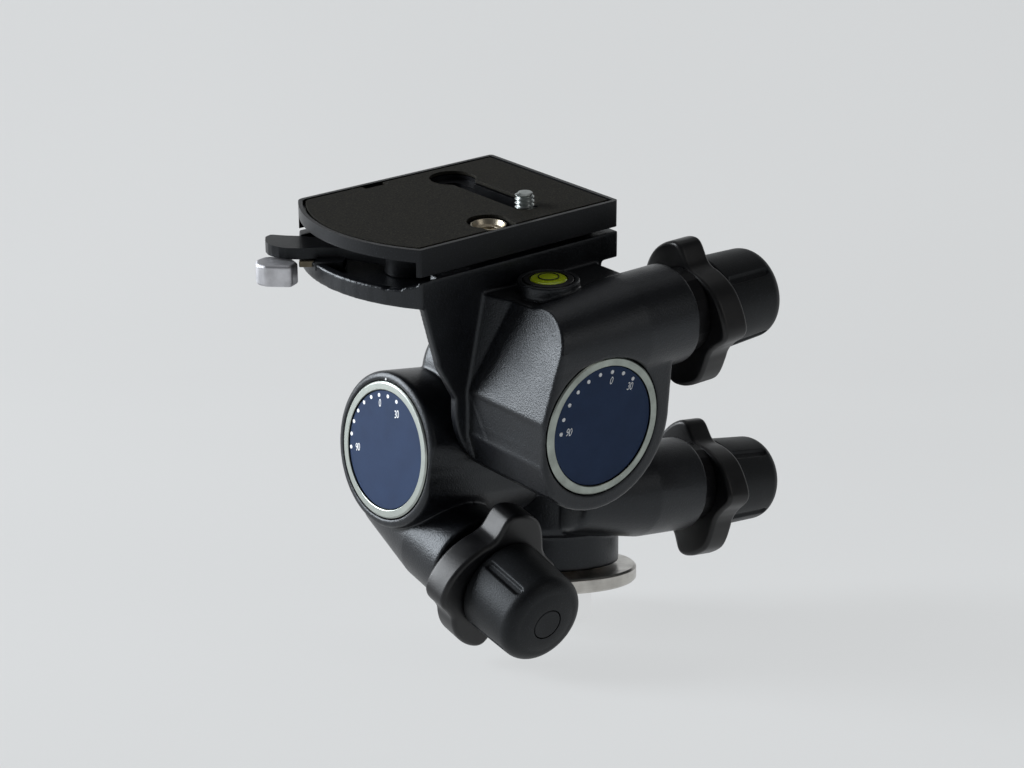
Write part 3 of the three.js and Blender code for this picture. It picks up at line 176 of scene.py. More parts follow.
def paint_look(name, dark, light, rough, grain=0.42, depth=0.05, shine=0.42):
    """Fine textured black paint: small grains, soft cloudy change of gloss, and paler flecks on the grains' tops that
    are a painted sparkle.
    """
    k = Look(name)
    fine = k.noise(grain, detail=2.0, rough=0.5)
    pits = k.cells(grain * 1.7)
    cloud = k.noise(14.0, detail=4.0)
    colour = k.mix(k.span(cloud, 0.0, 1.0, 0.3, 0.75), shade(*dark), shade(*light))
    # painted highlight: paler grey flecks on the tops of the fine grain stand in for the paint's sparkle under the
    # lamps
    colour = k.mix(k.span(fine, 0.0, 0.3, 0.6, 0.75), colour, shade(66, 70, 80))
    gloss = k.span(cloud, rough - 0.04, rough + 0.07, 0.3, 0.7)
    normal = k.bump(fine, depth, 0.9)
    normal = k.bump(pits, depth * 0.6, 0.55, normal)
    return k.done(Base_Color=colour, Roughness=gloss, Normal=normal, Metallic=0.0, Specular_IOR_Level=shine,
                  Specular_Tint=(0.9, 0.95, 1.0, 1.0))


def plastic_look(name, tone, rough, grain=0.3):
    k = Look(name)
    fine = k.noise(grain, detail=2.0)
    cloud = k.noise(9.0, detail=3.0)
    lighter = tuple(min(255, c + 7) for c in tone)
    colour = k.mix(k.span(cloud, 0.0, 1.0, 0.3, 0.7), shade(*tone), shade(*lighter))
    normal = k.bump(fine, 0.02, 0.8)
    return k.done(Base_Color=colour, Roughness=k.span(cloud, rough - 0.05, rough + 0.06, 0.3, 0.7), Normal=normal,
                  Specular_IOR_Level=0.4)


def metal_look(name, tone, rough, depth=0.006, spread=0.08, metallic=1.0):
    """Metal with a fine grain and a soft change of tone and gloss."""
    k = Look(name)
    cloud = k.noise(6.0, detail=4.0)
    darker = tuple(c * 0.8 for c in tone)
    colour = k.mix(k.span(cloud, 0.0, 1.0, 0.3, 0.75), shade(*tone), shade(*darker))
    gloss = k.span(cloud, rough - spread / 2, rough + spread, 0.25, 0.75)
    normal = k.bump(k.noise(0.35, detail=3.0), depth, 0.7)
    return k.done(Base_Color=colour, Roughness=gloss, Normal=normal, Metallic=metallic)


def turned_look(name, tone, rough, centre=(0, 0, 0), axis="Z", pitch=0.16):
    """Lathe-turned metal: rings about an axis that passes through a point, in metres of the frame."""
    k = Look(name)
    m = k.node("ShaderNodeVectorMath", Vector=k.position())
    m.operation = "SUBTRACT"
    m.inputs[1].default_value = centre
    split = k.node("ShaderNodeSeparateXYZ", Vector=m.outputs[0])
    others = [c for c in "XYZ" if c != axis]
    join = k.node("ShaderNodeCombineXYZ", X=split.outputs[others[0]], Y=split.outputs[others[1]])
    length = k.node("ShaderNodeVectorMath", Vector=join.outputs[0])
    length.operation = "LENGTH"
    across = k.node("ShaderNodeCombineXYZ", X=length.outputs["Value"], Y=split.outputs[axis])
    rings = k.noise(pitch, detail=2.0, vector=across.outputs[0])
    cloud = k.noise(7.0, detail=4.0)
    colour = k.mix(k.span(cloud, 0.0, 1.0, 0.3, 0.75), shade(*tone), shade(*[c * 0.84 for c in tone]))
    colour = k.mix(k.span(rings, 0.0, 0.25, 0.5, 0.8), colour, shade(*[c * 0.6 for c in tone]))
    normal = k.bump(rings, 0.012, 0.6)
    return k.done(Base_Color=colour, Roughness=k.span(cloud, rough - 0.03, rough + 0.08, 0.3, 0.7), Normal=normal,
                  Metallic=1.0)


CASTING = paint_look("textured_black_paint", (11, 11, 14), (15, 17, 21), 0.33, grain=0.42, depth=0.08, shine=0.46)
SMOOTH_CAST = paint_look("plate_black_paint", (9, 9, 11), (13, 13, 15), 0.36, grain=0.34, depth=0.035, shine=0.3)
LEVER_PLASTIC = plastic_look("lever_black", (11, 11, 13), 0.38)
KNOB_PLASTIC = paint_look("knob_black", (10, 11, 12), (14, 15, 17), 0.46, grain=0.4, depth=0.045, shine=0.28)
BLACKENED = metal_look("blackened_steel", (22, 22, 24), 0.4, metallic=0.8)
BASE_METAL = turned_look("turned_base", (205, 202, 196), 0.3)
STEEL = metal_look("machined_steel", (168, 171, 172), 0.3)
BRONZE = metal_look("machined_bronze", (176, 134, 84), 0.32)
BRASS = metal_look("brassy_link", (112, 104, 88), 0.4, depth=0.03)
ZINC = metal_look("tumbled_zinc", (206, 206, 210), 0.46, depth=0.06, spread=0.12)
SCREW_STEEL = metal_look("plated_screw", (190, 196, 194), 0.26)
SPARE_STEEL = metal_look("brassy_steel", (204, 194, 174), 0.34)
WHITE = plastic_look("white_paint", (246, 247, 248), 0.6)


def navy_look():
    k = Look("navy_face")
    fine = k.noise(0.35, detail=3.0)
    cloud = k.noise(8.0)
    colour = k.mix(k.span(cloud, 0.0, 1.0, 0.3, 0.75), shade(34, 51, 80), shade(39, 57, 88))
    colour = k.mix(k.span(fine, 0.0, 0.3, 0.55, 0.8), colour, shade(52, 72, 104))
    return k.done(Base_Color=colour, Roughness=0.55, Normal=k.bump(fine, 0.006, 0.5), Specular_IOR_Level=0.16)


def pad_look():
    k = Look("pad_rubber")
    fine = k.noise(0.5, detail=4.0, rough=0.7)
    flecks = k.cells(1.1)
    colour = k.mix(k.span(fine, 0.0, 1.0, 0.42, 0.6), shade(12, 11, 8), shade(42, 40, 33))
    colour = k.mix(k.span(flecks, 0.5, 0.0, 0.05, 0.3), colour, shade(70, 66, 56))
    normal = k.bump(fine, 0.06, 0.8)
    return k.done(Base_Color=colour, Roughness=k.span(fine, 0.68, 0.86), Normal=normal, Specular_IOR_Level=0.16)


def vial_look():
    k = Look("level_liquid")
    cloud = k.noise(3.0)
    colour = k.mix(k.span(cloud, 0.0, 1.0, 0.35, 0.7), shade(196, 220, 24), shade(216, 236, 46))
    return k.done(Base_Color=colour, Roughness=0.08, Transmission_Weight=0.25, IOR=1.45, Coat_Weight=0.6,
                  Coat_Roughness=0.03)


NAVY = navy_look()
PAD = pad_look()
VIAL = vial_look()
RING_A = turned_look("satin_ring_a", (184, 190, 184), 0.3, (0, AXIS_A[1] * MM, AXIS_A[2] * MM), "X")
RING_B = metal_look("satin_ring_b", (164, 171, 164), 0.32, depth=0.02)

# ---------------------------------------------------------------- meshes

AXES = {
    "x": ((0, 1, 0), (0, 0, 1), (1, 0, 0)),
    "y": ((0, 0, 1), (1, 0, 0), (0, 1, 0)),
    "z": ((1, 0, 0), (0, 1, 0), (0, 0, 1)),
}


def basis(axis):
    return [np.array(v, float) for v in AXES[axis]]


def made(name, points, faces):
    """A new object of points in level millimetres."""
    mesh = bpy.data.meshes.new(name)
    mesh.from_pydata([tuple(map(float, p)) for p in points], [], faces)
    mesh.validate()
    obj = bpy.data.objects.new(name, mesh)
    bpy.context.scene.collection.objects.link(obj)
    return obj


def outward(obj):
    bm = bmesh.new()
    bm.from_mesh(obj.data)
    bmesh.ops.recalc_face_normals(bm, faces=bm.faces)
    bm.to_mesh(obj.data)
    bm.free()
    return obj


def soften(points, radius, closed=True, steps=5):
    """Rounds the corners of a polyline by a radius, or by one radius for each corner."""
    pts = [np.array(p, float) for p in points]
    radii = radius if isinstance(radius, (list, tuple)) else [radius] * len(pts)
    result = []
    for i, p in enumerate(pts):
        r = radii[i]
        if r <= 0 or (not closed and i in (0, len(pts) - 1)):
            result.append(p)
            continue
        before, after = pts[i - 1] - p, pts[(i + 1) % len(pts)] - p
        la, lb = np.linalg.norm(before), np.linalg.norm(after)
        ua, ub = before / la, after / lb
        half = math.acos(max(-1, min(1, float(ua @ ub)))) / 2
        if half > math.radians(88):
            result.append(p)
            continue
        reach = min(r / math.tan(half), la * 0.48, lb * 0.48)
        r = reach * math.tan(half)
        middle = p + (ua + ub) / np.linalg.norm(ua + ub) * (r / math.sin(half))
        start, end = p + ua * reach - middle, p + ub * reach - middle
        a0 = math.atan2(start[1], start[0])
        turn = (math.atan2(end[1], end[0]) - a0 + math.pi) % (2 * math.pi) - math.pi
        for s in range(steps + 1):
            a = a0 + turn * s / steps
            result.append(middle + r * np.array([math.cos(a), math.sin(a)]))
    return result


def spun(name, profile, axis="z", centre=(0, 0), sides=128, warp=None):
    """Revolves a profile of (radius, place along the axis); `warp(angle, radius, place)` may change the radius."""
    u, v, w = basis(axis)
    base = centre[0] * u + centre[1] * v
    points, rows = [], []
    closed = np.allclose(profile[0], profile[-1]) and profile[0][0] > 1e-9
    prof = profile[:-1] if closed else profile
    for r, h in prof:
        if r < 1e-9:
            rows.append([len(points)])
            points.append(base + h * w)
            continue
        rows.append(list(range(len(points), len(points) + sides)))
        for k in range(sides):
            a = 2 * math.pi * k / sides
            rr = warp(a, r, h) if warp else r
            points.append(base + rr * (math.cos(a) * u + math.sin(a) * v) + h * w)
    faces = []
    pairs = list(zip(rows, rows[1:] + ([rows[0]] if closed else [])))
    if not closed:
        pairs = pairs[: len(rows) - 1]
    for a, b in pairs:
        for k in range(sides):
            j = (k + 1) % sides
            if len(a) == 1:
                faces.append((a[0], b[j], b[k]))
            elif len(b) == 1:
                faces.append((a[k], a[j], b[0]))
            else:
                faces.append((a[k], a[j], b[j], b[k]))
    return outward(made(name, points, faces))


def prism(name, outline, axis, start, end):
    u, v, w = basis(axis)
    n = len(outline)
    points = [a * u + b * v + h * w for h in (start, end) for a, b in outline]
    faces = [tuple(range(n))[::-1], tuple(range(n, 2 * n))]
    faces += [(k, (k + 1) % n, n + (k + 1) % n, n + k) for k in range(n)]
    return outward(made(name, points, faces))


def disc_outline(cx, cy, r, steps=64):
    return [(cx + r * math.cos(2 * math.pi * k / steps), cy + r * math.sin(2 * math.pi * k / steps))
            for k in range(steps)]


def round_bar(name, axis, radius, start, end, centre=(0, 0), sides=96, rounds=(0, 0)):
    corners = [(0, start), (radius, start), (radius, end), (0, end)]
    prof = soften(corners, [0, rounds[0], rounds[1], 0], closed=False)
    return spun(name, [tuple(p) for p in prof], axis, centre, sides)


def applied(obj):
    """The object with its modifiers turned into mesh."""
    graph = bpy.context.evaluated_depsgraph_get()
    mesh = bpy.data.meshes.new_from_object(obj.evaluated_get(graph), depsgraph=graph)
    obj.modifiers.clear()
    old = obj.data
    obj.data = mesh
    bpy.data.meshes.remove(old)
    return obj


def carved(obj, *tools):
    for tool in tools:
        mod = obj.modifiers.new("cut", "BOOLEAN")
        mod.operation = "DIFFERENCE"
        mod.solver = "EXACT"
        mod.object = tool
    applied(obj)
    for tool in tools:
        bpy.data.objects.remove(tool)
    return obj


def welded(obj, *others):
    for other in others:
        mod = obj.modifiers.new("weld", "BOOLEAN")
        mod.operation = "UNION"
        mod.solver = "EXACT"
        mod.object = other
    applied(obj)
    for other in others:
        bpy.data.objects.remove(other)
    return obj


def bevelled(obj, width, segments=3, angle=32):
    bm = bmesh.new()
    bm.from_mesh(obj.data)
    bmesh.ops.remove_doubles(bm, verts=bm.verts, dist=0.01)
    bmesh.ops.dissolve_limit(bm, angle_limit=math.radians(0.3), verts=bm.verts, edges=bm.edges)
    bm.to_mesh(obj.data)
    bm.free()
    mod = obj.modifiers.new("bevel", "BEVEL")
    mod.width = width
    mod.segments = segments
    mod.limit_method = "ANGLE"
    mod.angle_limit = math.radians(angle)
    mod.use_clamp_overlap = True
    return applied(obj)


def soft(obj):
    """Shades every face smoothly."""
    obj.data.polygons.foreach_set("use_smooth", [True] * len(obj.data.polygons))


def crisp(obj, angle=34):
    """Shades smoothly apart from edges sharper than the angle."""
    soft(obj)
    obj.data.set_sharp_from_angle(angle=math.radians(angle))
    mod = obj.modifiers.new("normals", "WEIGHTED_NORMAL")
    mod.keep_sharp = True
    return applied(obj)


def points_of(mesh):
    co = np.empty(len(mesh.vertices) * 3)
    mesh.vertices.foreach_get("co", co)
    return co.reshape(-1, 3)


def put_points(mesh, co):
    mesh.vertices.foreach_set("co", co.reshape(-1))
    mesh.update()


def smoothed(obj, passes):
    """Evens the mesh out, so its edges and hollows get the radius of a die casting."""
    mesh = obj.data
    edges = np.empty(len(mesh.edges) * 2, int)
    mesh.edges.foreach_get("vertices", edges)
    a, b = edges.reshape(-1, 2).T
    co = points_of(mesh)
    n = len(co)
    degree = np.maximum(np.bincount(a, minlength=n) + np.bincount(b, minlength=n), 1)[:, None]
    for _ in range(passes):
        total = np.stack([np.bincount(a, co[b, i], n) + np.bincount(b, co[a, i], n) for i in range(3)], 1)
        co = co + 0.5 * (total / degree - co)
    put_points(mesh, co)
    soft(obj)
    return obj


def step01(x, low, high):
    t = np.clip((x - low) / (high - low), 0, 1)
    return t * t * (3 - 2 * t)


def made_round(obj, origin, axis, ref, sides, r0, r1, a0, a1, phase=0.0):
    """Turns the flats of a many-sided round form into a true round, within a band of radius and length."""
    mesh = obj.data
    co = points_of(mesh)
    nr = np.empty(len(mesh.vertices) * 3)
    mesh.vertices.foreach_get("normal", nr)
    nr = nr.reshape(-1, 3)
    axis, ref = np.array(axis, float), np.array(ref, float)
    side = np.cross(axis, ref)
    rel = co - np.array(origin, float)
    along = rel @ axis
    flat = rel - along[:, None] * axis
    r = np.linalg.norm(flat, axis=1)
    theta = np.arctan2(flat @ side, flat @ ref)
    step = 2 * math.pi / sides
    off = np.mod(theta - phase, step) - step / 2
    factor = np.cos(off) / math.cos(step / 2)
    radial = np.abs(np.sum(nr * flat, 1) / np.maximum(r, 1e-6))
    w = step01(r, r0, r0 + 0.4) * (1 - step01(r, r1, r1 + 0.3)) * step01(radial, 0.35, 0.8)
    w *= step01(along, a0 - 0.8, a0) * (1 - step01(along, a1, a1 + 0.8))
    co = co + flat * ((factor - 1) * w)[:, None]
    put_points(mesh, co)
    return obj


def made_flat(obj, *planes):
    """Puts the points that lie near a plane, and face its way, onto it; each plane is a point and its normal."""
    mesh = obj.data
    co = points_of(mesh)
    nr = np.empty(len(mesh.vertices) * 3)
    mesh.vertices.foreach_get("normal", nr)
    nr = nr.reshape(-1, 3)
    for point, normal in planes:
        n = np.array(normal, float) / np.linalg.norm(normal)
        off = (co - np.array(point, float)) @ n
        w = (1 - step01(np.abs(off), 0.25, 0.5)) * step01(nr @ n, 0.9, 0.97)
        co = co - (off * w)[:, None] * n
    put_points(mesh, co)
    return obj


def cad_copy(name, node, group):
    """A copy of a CAD node's mesh in level millimetres."""
    mesh = nodes[node].data.copy()
    mesh.materials.clear()
    obj = bpy.data.objects.new(name, mesh)
    bpy.context.scene.collection.objects.link(obj)
    mesh.transform((Matrix.Scale(MM, 4) @ GROUPS[group]).inverted())
    bm = bmesh.new()
    bm.from_mesh(mesh)
    bmesh.ops.remove_doubles(bm, verts=bm.verts, dist=1e-3)
    for layer in list(bm.loops.layers.uv):
        bm.loops.layers.uv.remove(layer)
    bm.to_mesh(mesh)
    bm.free()
    return obj


def voxels(obj, size):
    mod = obj.modifiers.new("voxels", "REMESH")
    mod.mode = "VOXEL"
    mod.voxel_size = size
    return applied(obj)


def joined(obj, *others):
    """Puts the meshes of the others into obj."""
    bm = bmesh.new()
    for o in (obj, *others):
        bm.from_mesh(o.data)
    bm.to_mesh(obj.data)
    bm.free()
    for o in others:
        bpy.data.objects.remove(o)
    return obj


def settle(obj, group, body, material, stands_for=(), matrix=None):
    """Takes a finished piece from level millimetres to its place in the frame."""
    if matrix is not None:
        obj.data.transform(matrix)
    obj.data.transform(Matrix.Scale(MM, 4) @ GROUPS[group])
    obj.data.update()
    obj.data.materials.clear()
    obj.data.materials.append(material)
    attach(obj, body)
    if stands_for:
        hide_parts(*stands_for)
    return obj


# ---------------------------------------------------------------- castings


def tunnel_round(obj, d, start):
    centre = d["o"] + d["side"] * OFFSET * d["y"] + (CENTRES + OFFSET) * d["z"]
    made_round(obj, centre, d["x"], d["y"], 24, 9.0, 15.9, start, mouth(d) + 0.5)


VOXEL = 0.4


def pan_casting():
    obj = voxels(cad_copy("pan_casting", "pan_housing", "pan"), VOXEL)
    made_round(obj, (0, 0, 0), (0, 0, 1), (1, 0, 0), 36, 22.0, 26.8, 6.0, 46.2)
    made_round(obj, AXIS_A, (1, 0, 0), (0, 1, 0), 36, 15.0, 20.8, -25.2, 15.6)
    tunnel_round(obj, DRIVES[2], -14)
    smoothed(obj, 6)
    settle(obj, "pan", "pan", CASTING, ["pan_housing"])


def tilt_casting():
    obj = voxels(cad_copy("tilt_casting", "tilt_housing", "mid"), VOXEL)
    made_round(obj, AXIS_A, (1, 0, 0), (0, 1, 0), 36, 21.0, 24.9, -75, -26.5)
    made_round(obj, AXIS_B, (0, 1, 0), (0, 0, 1), 36, 13.0, 17.4, -34, -3.5)
    tunnel_round(obj, DRIVES[1], -14)
    smoothed(obj, 6)
    settle(obj, "mid", "first_tilt", CASTING, ["tilt_housing"])


PLATE = {"x0": -82.9, "x1": -7.0, "y0": -36.5, "y1": 26.6, "bulge": 10.4}
HALF_W = (PLATE["y1"] - PLATE["y0"]) / 2
BULGE_R = (HALF_W ** 2 + PLATE["bulge"] ** 2) / (2 * PLATE["bulge"])
END_X = PLATE["x0"] - PLATE["bulge"] + BULGE_R
END_Y = (PLATE["y0"] + PLATE["y1"]) / 2
END_SWING = math.asin(HALF_W / BULGE_R)

# Flat faces of the head casting that run aslant: facets, chamfer beside the web and the web's edge
CASTING_FLATS = [
    ((-66.2, -50, 83), (-28.5, 0, 9.4)),
    ((-66.2, -50, 67), (-8.5, 0, -2.4)),
    ((-66.2, -36.5, 83), (-273.6, -91.2, 59.5)),
    ((-82, -35, 111.5), (-20.3, 0, -5.5)),
    ((-76.5, -35, 91.2), (-20.7, 0, -11)),
    ((-15.6, -50, 94), (17.6, 0, -1.5)),
]


def head_casting():
    obj = cad_copy("upper_casting", "head_casting", "top")
    mouth_end = [(-35.3, 118.8), (-25.5, 116.4), (-25.5, 121.4), (-35.3, 121.4)]
    carved(obj, prism("mouth_end", mouth_end, "x", -96, -76))
    voxels(obj, VOXEL)
    made_round(obj, AXIS_B, (0, 1, 0), (0, 0, 1), 36, 20.0, 27.0, -36.5, -33.0)
    hub_step = math.radians(138) / 16
    made_round(obj, AXIS_B, (0, -1, 0), (1, 0, 0), 2 * math.pi / hub_step, 22.4, 27.0, 36.4, 73.3,
               phase=math.radians(222))
    made_round(obj, AXIS_B, (0, 1, 0), (0, 0, 1), 36, 21.2, 22.0, -74, -71)
    tunnel_round(obj, DRIVES[3], -24)
    made_flat(obj, *CASTING_FLATS)
    made_round(obj, (*LEVEL_AT, 0), (0, 0, 1), (1, 0, 0), 24, 8.7, 9.8, 108, 116)
    end_step = 2 * END_SWING / 12
    made_round(obj, (END_X, END_Y, 0), (0, 0, 1), (1, 0, 0), 2 * math.pi / end_step, 51.6, 53.4, 111, 120.5,
               phase=math.pi - END_SWING)
    smoothed(obj, 5)
    settle(obj, "top", "second_tilt", CASTING, ["head_casting"])


# ---------------------------------------------------------------- drives

LEVER_SHARES = [
    (0, 0.949), (0.017, 0.804), (0.033, 0.72), (0.056, 0.694), (0.111, 0.749), (0.158, 0.809), (0.2, 0.847),
    (0.236, 0.894), (0.258, 0.923), (0.275, 0.885), (0.3, 0.774), (0.328, 0.719), (0.353, 0.719),
    (0.386, 0.791), (0.431, 0.932), (0.478, 0.983), (0.508, 1), (0.528, 0.97), (0.544, 0.809),
    (0.561, 0.723), (0.589, 0.698), (0.644, 0.76), (0.694, 0.84), (0.736, 0.91), (0.772, 0.955),
    (0.794, 0.93), (0.822, 0.84), (0.847, 0.81), (0.875, 0.862), (0.906, 0.915), (0.942, 0.957),
    (0.972, 0.983), (0.989, 0.979), (1, 0.949),
]


def lever(i, d):
    """Release lever: a ring with two wings, its edge well rounded, round the sleeve's bore."""
    share = np.linspace(0, 1, 240, endpoint=False)
    radius = np.interp(share, [s for s, _ in LEVER_SHARES], [r for _, r in LEVER_SHARES]) * 23.5
    for _ in range(5):
        radius = 0.5 * radius + 0.25 * (np.roll(radius, 1) + np.roll(radius, -1))
    angle = d["clock"] + 2 * math.pi * share
    edge = 1.5
    start, end = d["reach"] - LEVER_THICK, d["reach"]
    outline = np.stack([radius * np.cos(angle), radius * np.sin(angle)], 1)
    tangent = np.roll(outline, -1, 0) - np.roll(outline, 1, 0)
    normal = np.stack([tangent[:, 1], -tangent[:, 0]], 1)
    normal /= np.linalg.norm(normal, axis=1)[:, None]
    if np.mean(np.sum(normal * outline, 1)) < 0:
        normal = -normal
    for _ in range(4):
        normal = normal + np.roll(normal, 1, 0) + np.roll(normal, -1, 0)
        normal /= np.linalg.norm(normal, axis=1)[:, None]
    bore = 9.7
    cy, cz = -0.7 * math.cos(d["clock"]), CENTRES - 0.7 * math.sin(d["clock"])
    sleeve = np.array([d["side"] * OFFSET - cy, CENTRES + OFFSET - cz])
    rows = []
    for x, inset in [(start, None), (start, 4.0)] + [
        (start + edge * (1 - math.cos(t)), edge * (1 - math.sin(t))) for t in np.linspace(0, math.pi / 2, 6)
    ] + [(end - edge * (1 - math.sin(t)), edge * (1 - math.cos(t))) for t in np.linspace(0, math.pi / 2, 6)] + [
        (end, 4.0), (end, None)
    ]:
        if inset is None:
            ring = sleeve + bore * np.stack([np.cos(angle), np.sin(angle)], 1)
        elif inset == 4.0:
            ring = outline * (1 - 3.6 / radius)[:, None]
        else:
            ring = outline - normal * inset
        rows.append([(x, cy + p[0], cz + p[1]) for p in ring])
    points = [p for row in rows for p in row]
    n = len(angle)
    faces = []
    for r in range(len(rows)):
        a, b = r * n, ((r + 1) % len(rows)) * n
        faces += [(a + k, a + (k + 1) % n, b + (k + 1) % n, b + k) for k in range(n)]
    obj = outward(made(f"release_wing_{i}", points, faces))
    crisp(obj, 40)
    settle(obj, d["group"], f"release_{i}", LEVER_PLASTIC, [f"release_lever_{i}"], drive_matrix(d))


def knob(i, d):
    """Knob with softly rounded rim and four finger grooves closed at both ends, and a fine ring on its end."""
    base = d["reach"] + 0.6
    length, r0, r1, rim, dome = 22.6, 15.0, 14.3, 4.3, 0.6
    rows = []
    side_end = base + length - dome - rim
    for t in np.linspace(0, 1, 60):
        rows.append((r0 + (r1 - r0) * t, base + 0.8 + (side_end - base - 0.8) * t))
    for t in np.linspace(0, math.pi / 2, 13)[1:]:
        rows.append((r1 - rim + rim * math.cos(t), side_end + rim * math.sin(t)))
    top_r, top_x = rows[-1]
    for t in np.linspace(0, 1, 8)[1:]:
        r = top_r + (5.0 - top_r) * t
        rows.append((r, top_x + dome * (1 - ((r - 5.0) / (top_r - 5.0)) ** 2)))
    end = base + length
    profile = [(0, base + 14), (4.9, base + 14), (4.9, base), (r0 - 0.8, base)]
    profile += [(r0 - 0.8 + 0.8 * math.sin(t), base + 0.8 * (1 - math.cos(t))) for t in
                np.linspace(0, math.pi / 2, 5)[1:-1]]
    profile += rows + [(4.85, end - 0.25), (4.85, end - 1.5), (0, end - 1.5)]
    g0, g1 = base + 1.6, side_end + 0.3

    def warp(a, r, h):
        if r < r1 - 0.3 or h < base + 1:
            return r
        step = math.pi / 2
        off = (a - math.pi / 4 + step / 2) % step - step / 2
        across = off * r
        half = 1.15
        past = max(g0 + half - h, h - (g1 - half), 0.0)
        dist = math.hypot(across, past)
        t = min(max((half + 0.35 - dist) / 0.7, 0.0), 1.0)
        return r - 0.95 * t * t * (3 - 2 * t)

    move = Matrix.Translation((0, 0, CENTRES))
    obj = spun(f"grip_{i}", profile, "x", sides=288, warp=warp)
    obj.data.transform(move)
    crisp(obj, 50)
    settle(obj, d["group"], f"drive_{i}", KNOB_PLASTIC, [f"knob_{i}"], drive_matrix(d))
    cap = round_bar(f"grip_cap_{i}", "x", 4.7, end - 1.2, end, sides=64, rounds=(0, 0.35))
    cap.data.transform(move)
    crisp(cap)
    settle(cap, d["group"], f"drive_{i}", KNOB_PLASTIC, [f"knob_cap_{i}"], drive_matrix(d))


# ---------------------------------------------------------------- dials


def in_dial(centre, right, up):
    """Matrix that puts a drawing's x and y on a dial's face, its z out of the face."""
    x, y = Vector(right), Vector(up)
    z = x.cross(y)
    m = Matrix.Identity(4)
    for i in range(3):
        m[i][0], m[i][1], m[i][2], m[i][3] = x[i], y[i], z[i], centre[i]
    return m


def lettering(name, text, size, at, turn):
    curve = bpy.data.curves.new(name, "FONT")
    curve.body = text
    curve.size = size
    curve.shear = 0.18
    curve.align_x = "CENTER"
    curve.align_y = "CENTER"
    curve.extrude = 0.02
    curve.space_character = 0.92
    obj = bpy.data.objects.new(name, curve)
    bpy.context.scene.collection.objects.link(obj)
    graph = bpy.context.evaluated_depsgraph_get()
    mesh = bpy.data.meshes.new_from_object(obj.evaluated_get(graph), depsgraph=graph)
    bpy.data.objects.remove(obj)
    narrow = Matrix.Scale(0.72, 4, (1, 0, 0))
    mesh.transform(Matrix.Translation((at[0], at[1], 0)) @ Matrix.Rotation(turn, 4, "Z") @ narrow)
    made_obj = bpy.data.objects.new(name, mesh)
    bpy.context.scene.collection.objects.link(made_obj)
    return made_obj


def dial(letter, group, body, axis, face, centre, place, ring_look, dots, words, radius, shift=(0, 0)):
    """Dial face with its ring, a row of dots given as degrees, and numbers given as (text, degrees, radius)."""
    disc = spun(f"dial_face_{letter}", [tuple(p) for p in soften(
        [(0, face + 0.5), (18.5, face + 0.5), (18.5, face + 1.6), (21.4, face + 1.6), (21.4, face + 2.2),
         (4, face + 2.2), (4, face + 6.2), (0, face + 6.2)], [0, 0.15, 0, 0.15, 0, 0, 0.2, 0], closed=False)],
        axis, centre, 160)
    crisp(disc)
    settle(disc, group, body, NAVY, [f"dial_disc_{letter}"])
    ring = spun(f"dial_rim_{letter}", [tuple(p) for p in soften(
        [(18.8, face + 0.12), (19.0, face), (20.9, face), (21.4, face + 0.4), (21.4, face + 1.3), (18.8, face + 1.3)],
        [0.05, 0.05, 0.3, 0.2, 0.05, 0.05])], axis, centre, 160)
    crisp(ring, 50)
    settle(ring, group, body, ring_look, [f"dial_ring_{letter}"])
    marks = None
    for k, degrees in enumerate(dots):
        a = math.radians(degrees)
        dot = prism(f"dot_{letter}_{k + 1}", disc_outline(radius * math.sin(a) + shift[0],
                                                          radius * math.cos(a) + shift[1], 0.62, 20), "z", -0.02, 0.02)
        marks = dot if marks is None else joined(marks, dot)
    for text, degrees, reach in words:
        a = math.radians(degrees)
        word = lettering(f"number_{letter}_{text}", text, 3.4,
                         (reach * math.sin(a) + shift[0], reach * math.cos(a) + shift[1]), -math.radians(words[0][1]))
        marks = joined(marks, word)
    marks.name = f"dial_marks_{letter}"
    settle(marks, group, body, WHITE, matrix=place)


def dot_on(name, group, body, at, normal, radius=0.42):
    """A small painted dot that lies on a face."""
    z = Vector(normal).normalized()
    x = z.orthogonal().normalized()
    y = z.cross(x)
    m = Matrix.Identity(4)
    for i in range(3):
        m[i][0], m[i][1], m[i][2], m[i][3] = x[i], y[i], z[i], at[i]
    dot = spun(name, [(0, -0.05), (radius, -0.05), (radius * 0.8, 0.06), (0, 0.09)], "z", sides=24)
    settle(dot, group, body, WHITE, matrix=m)


# ---------------------------------------------------------------- base, level, plate, clamp


def base():
    corners = [(7.2, 0), (29.3, 0), (30, 0.7), (30, 4.2), (29.4, 4.9), (7.2, 4.9)]
    prof = soften(corners, [0.1, 0.3, 0.25, 0.25, 0.3, 0.1])
    disc = spun("turned_base", [tuple(p) for p in prof] + [tuple(prof[0])], "z", sides=192)
    cutters = []
    for k in range(3):
        a = 2 * math.pi * k / 3
        at = (12 * math.cos(a), 12 * math.sin(a))
        cutters.append(spun(f"sink_{k}", [(0, -1), (3.2, -1), (3.2, 0.3), (1.8, 2.5), (1.8, 6), (0, 6)], "z", at, 32))
    carved(disc, *cutters)
    crisp(disc, 28)
    settle(disc, "pan", "base", BASE_METAL, ["base_disc"])


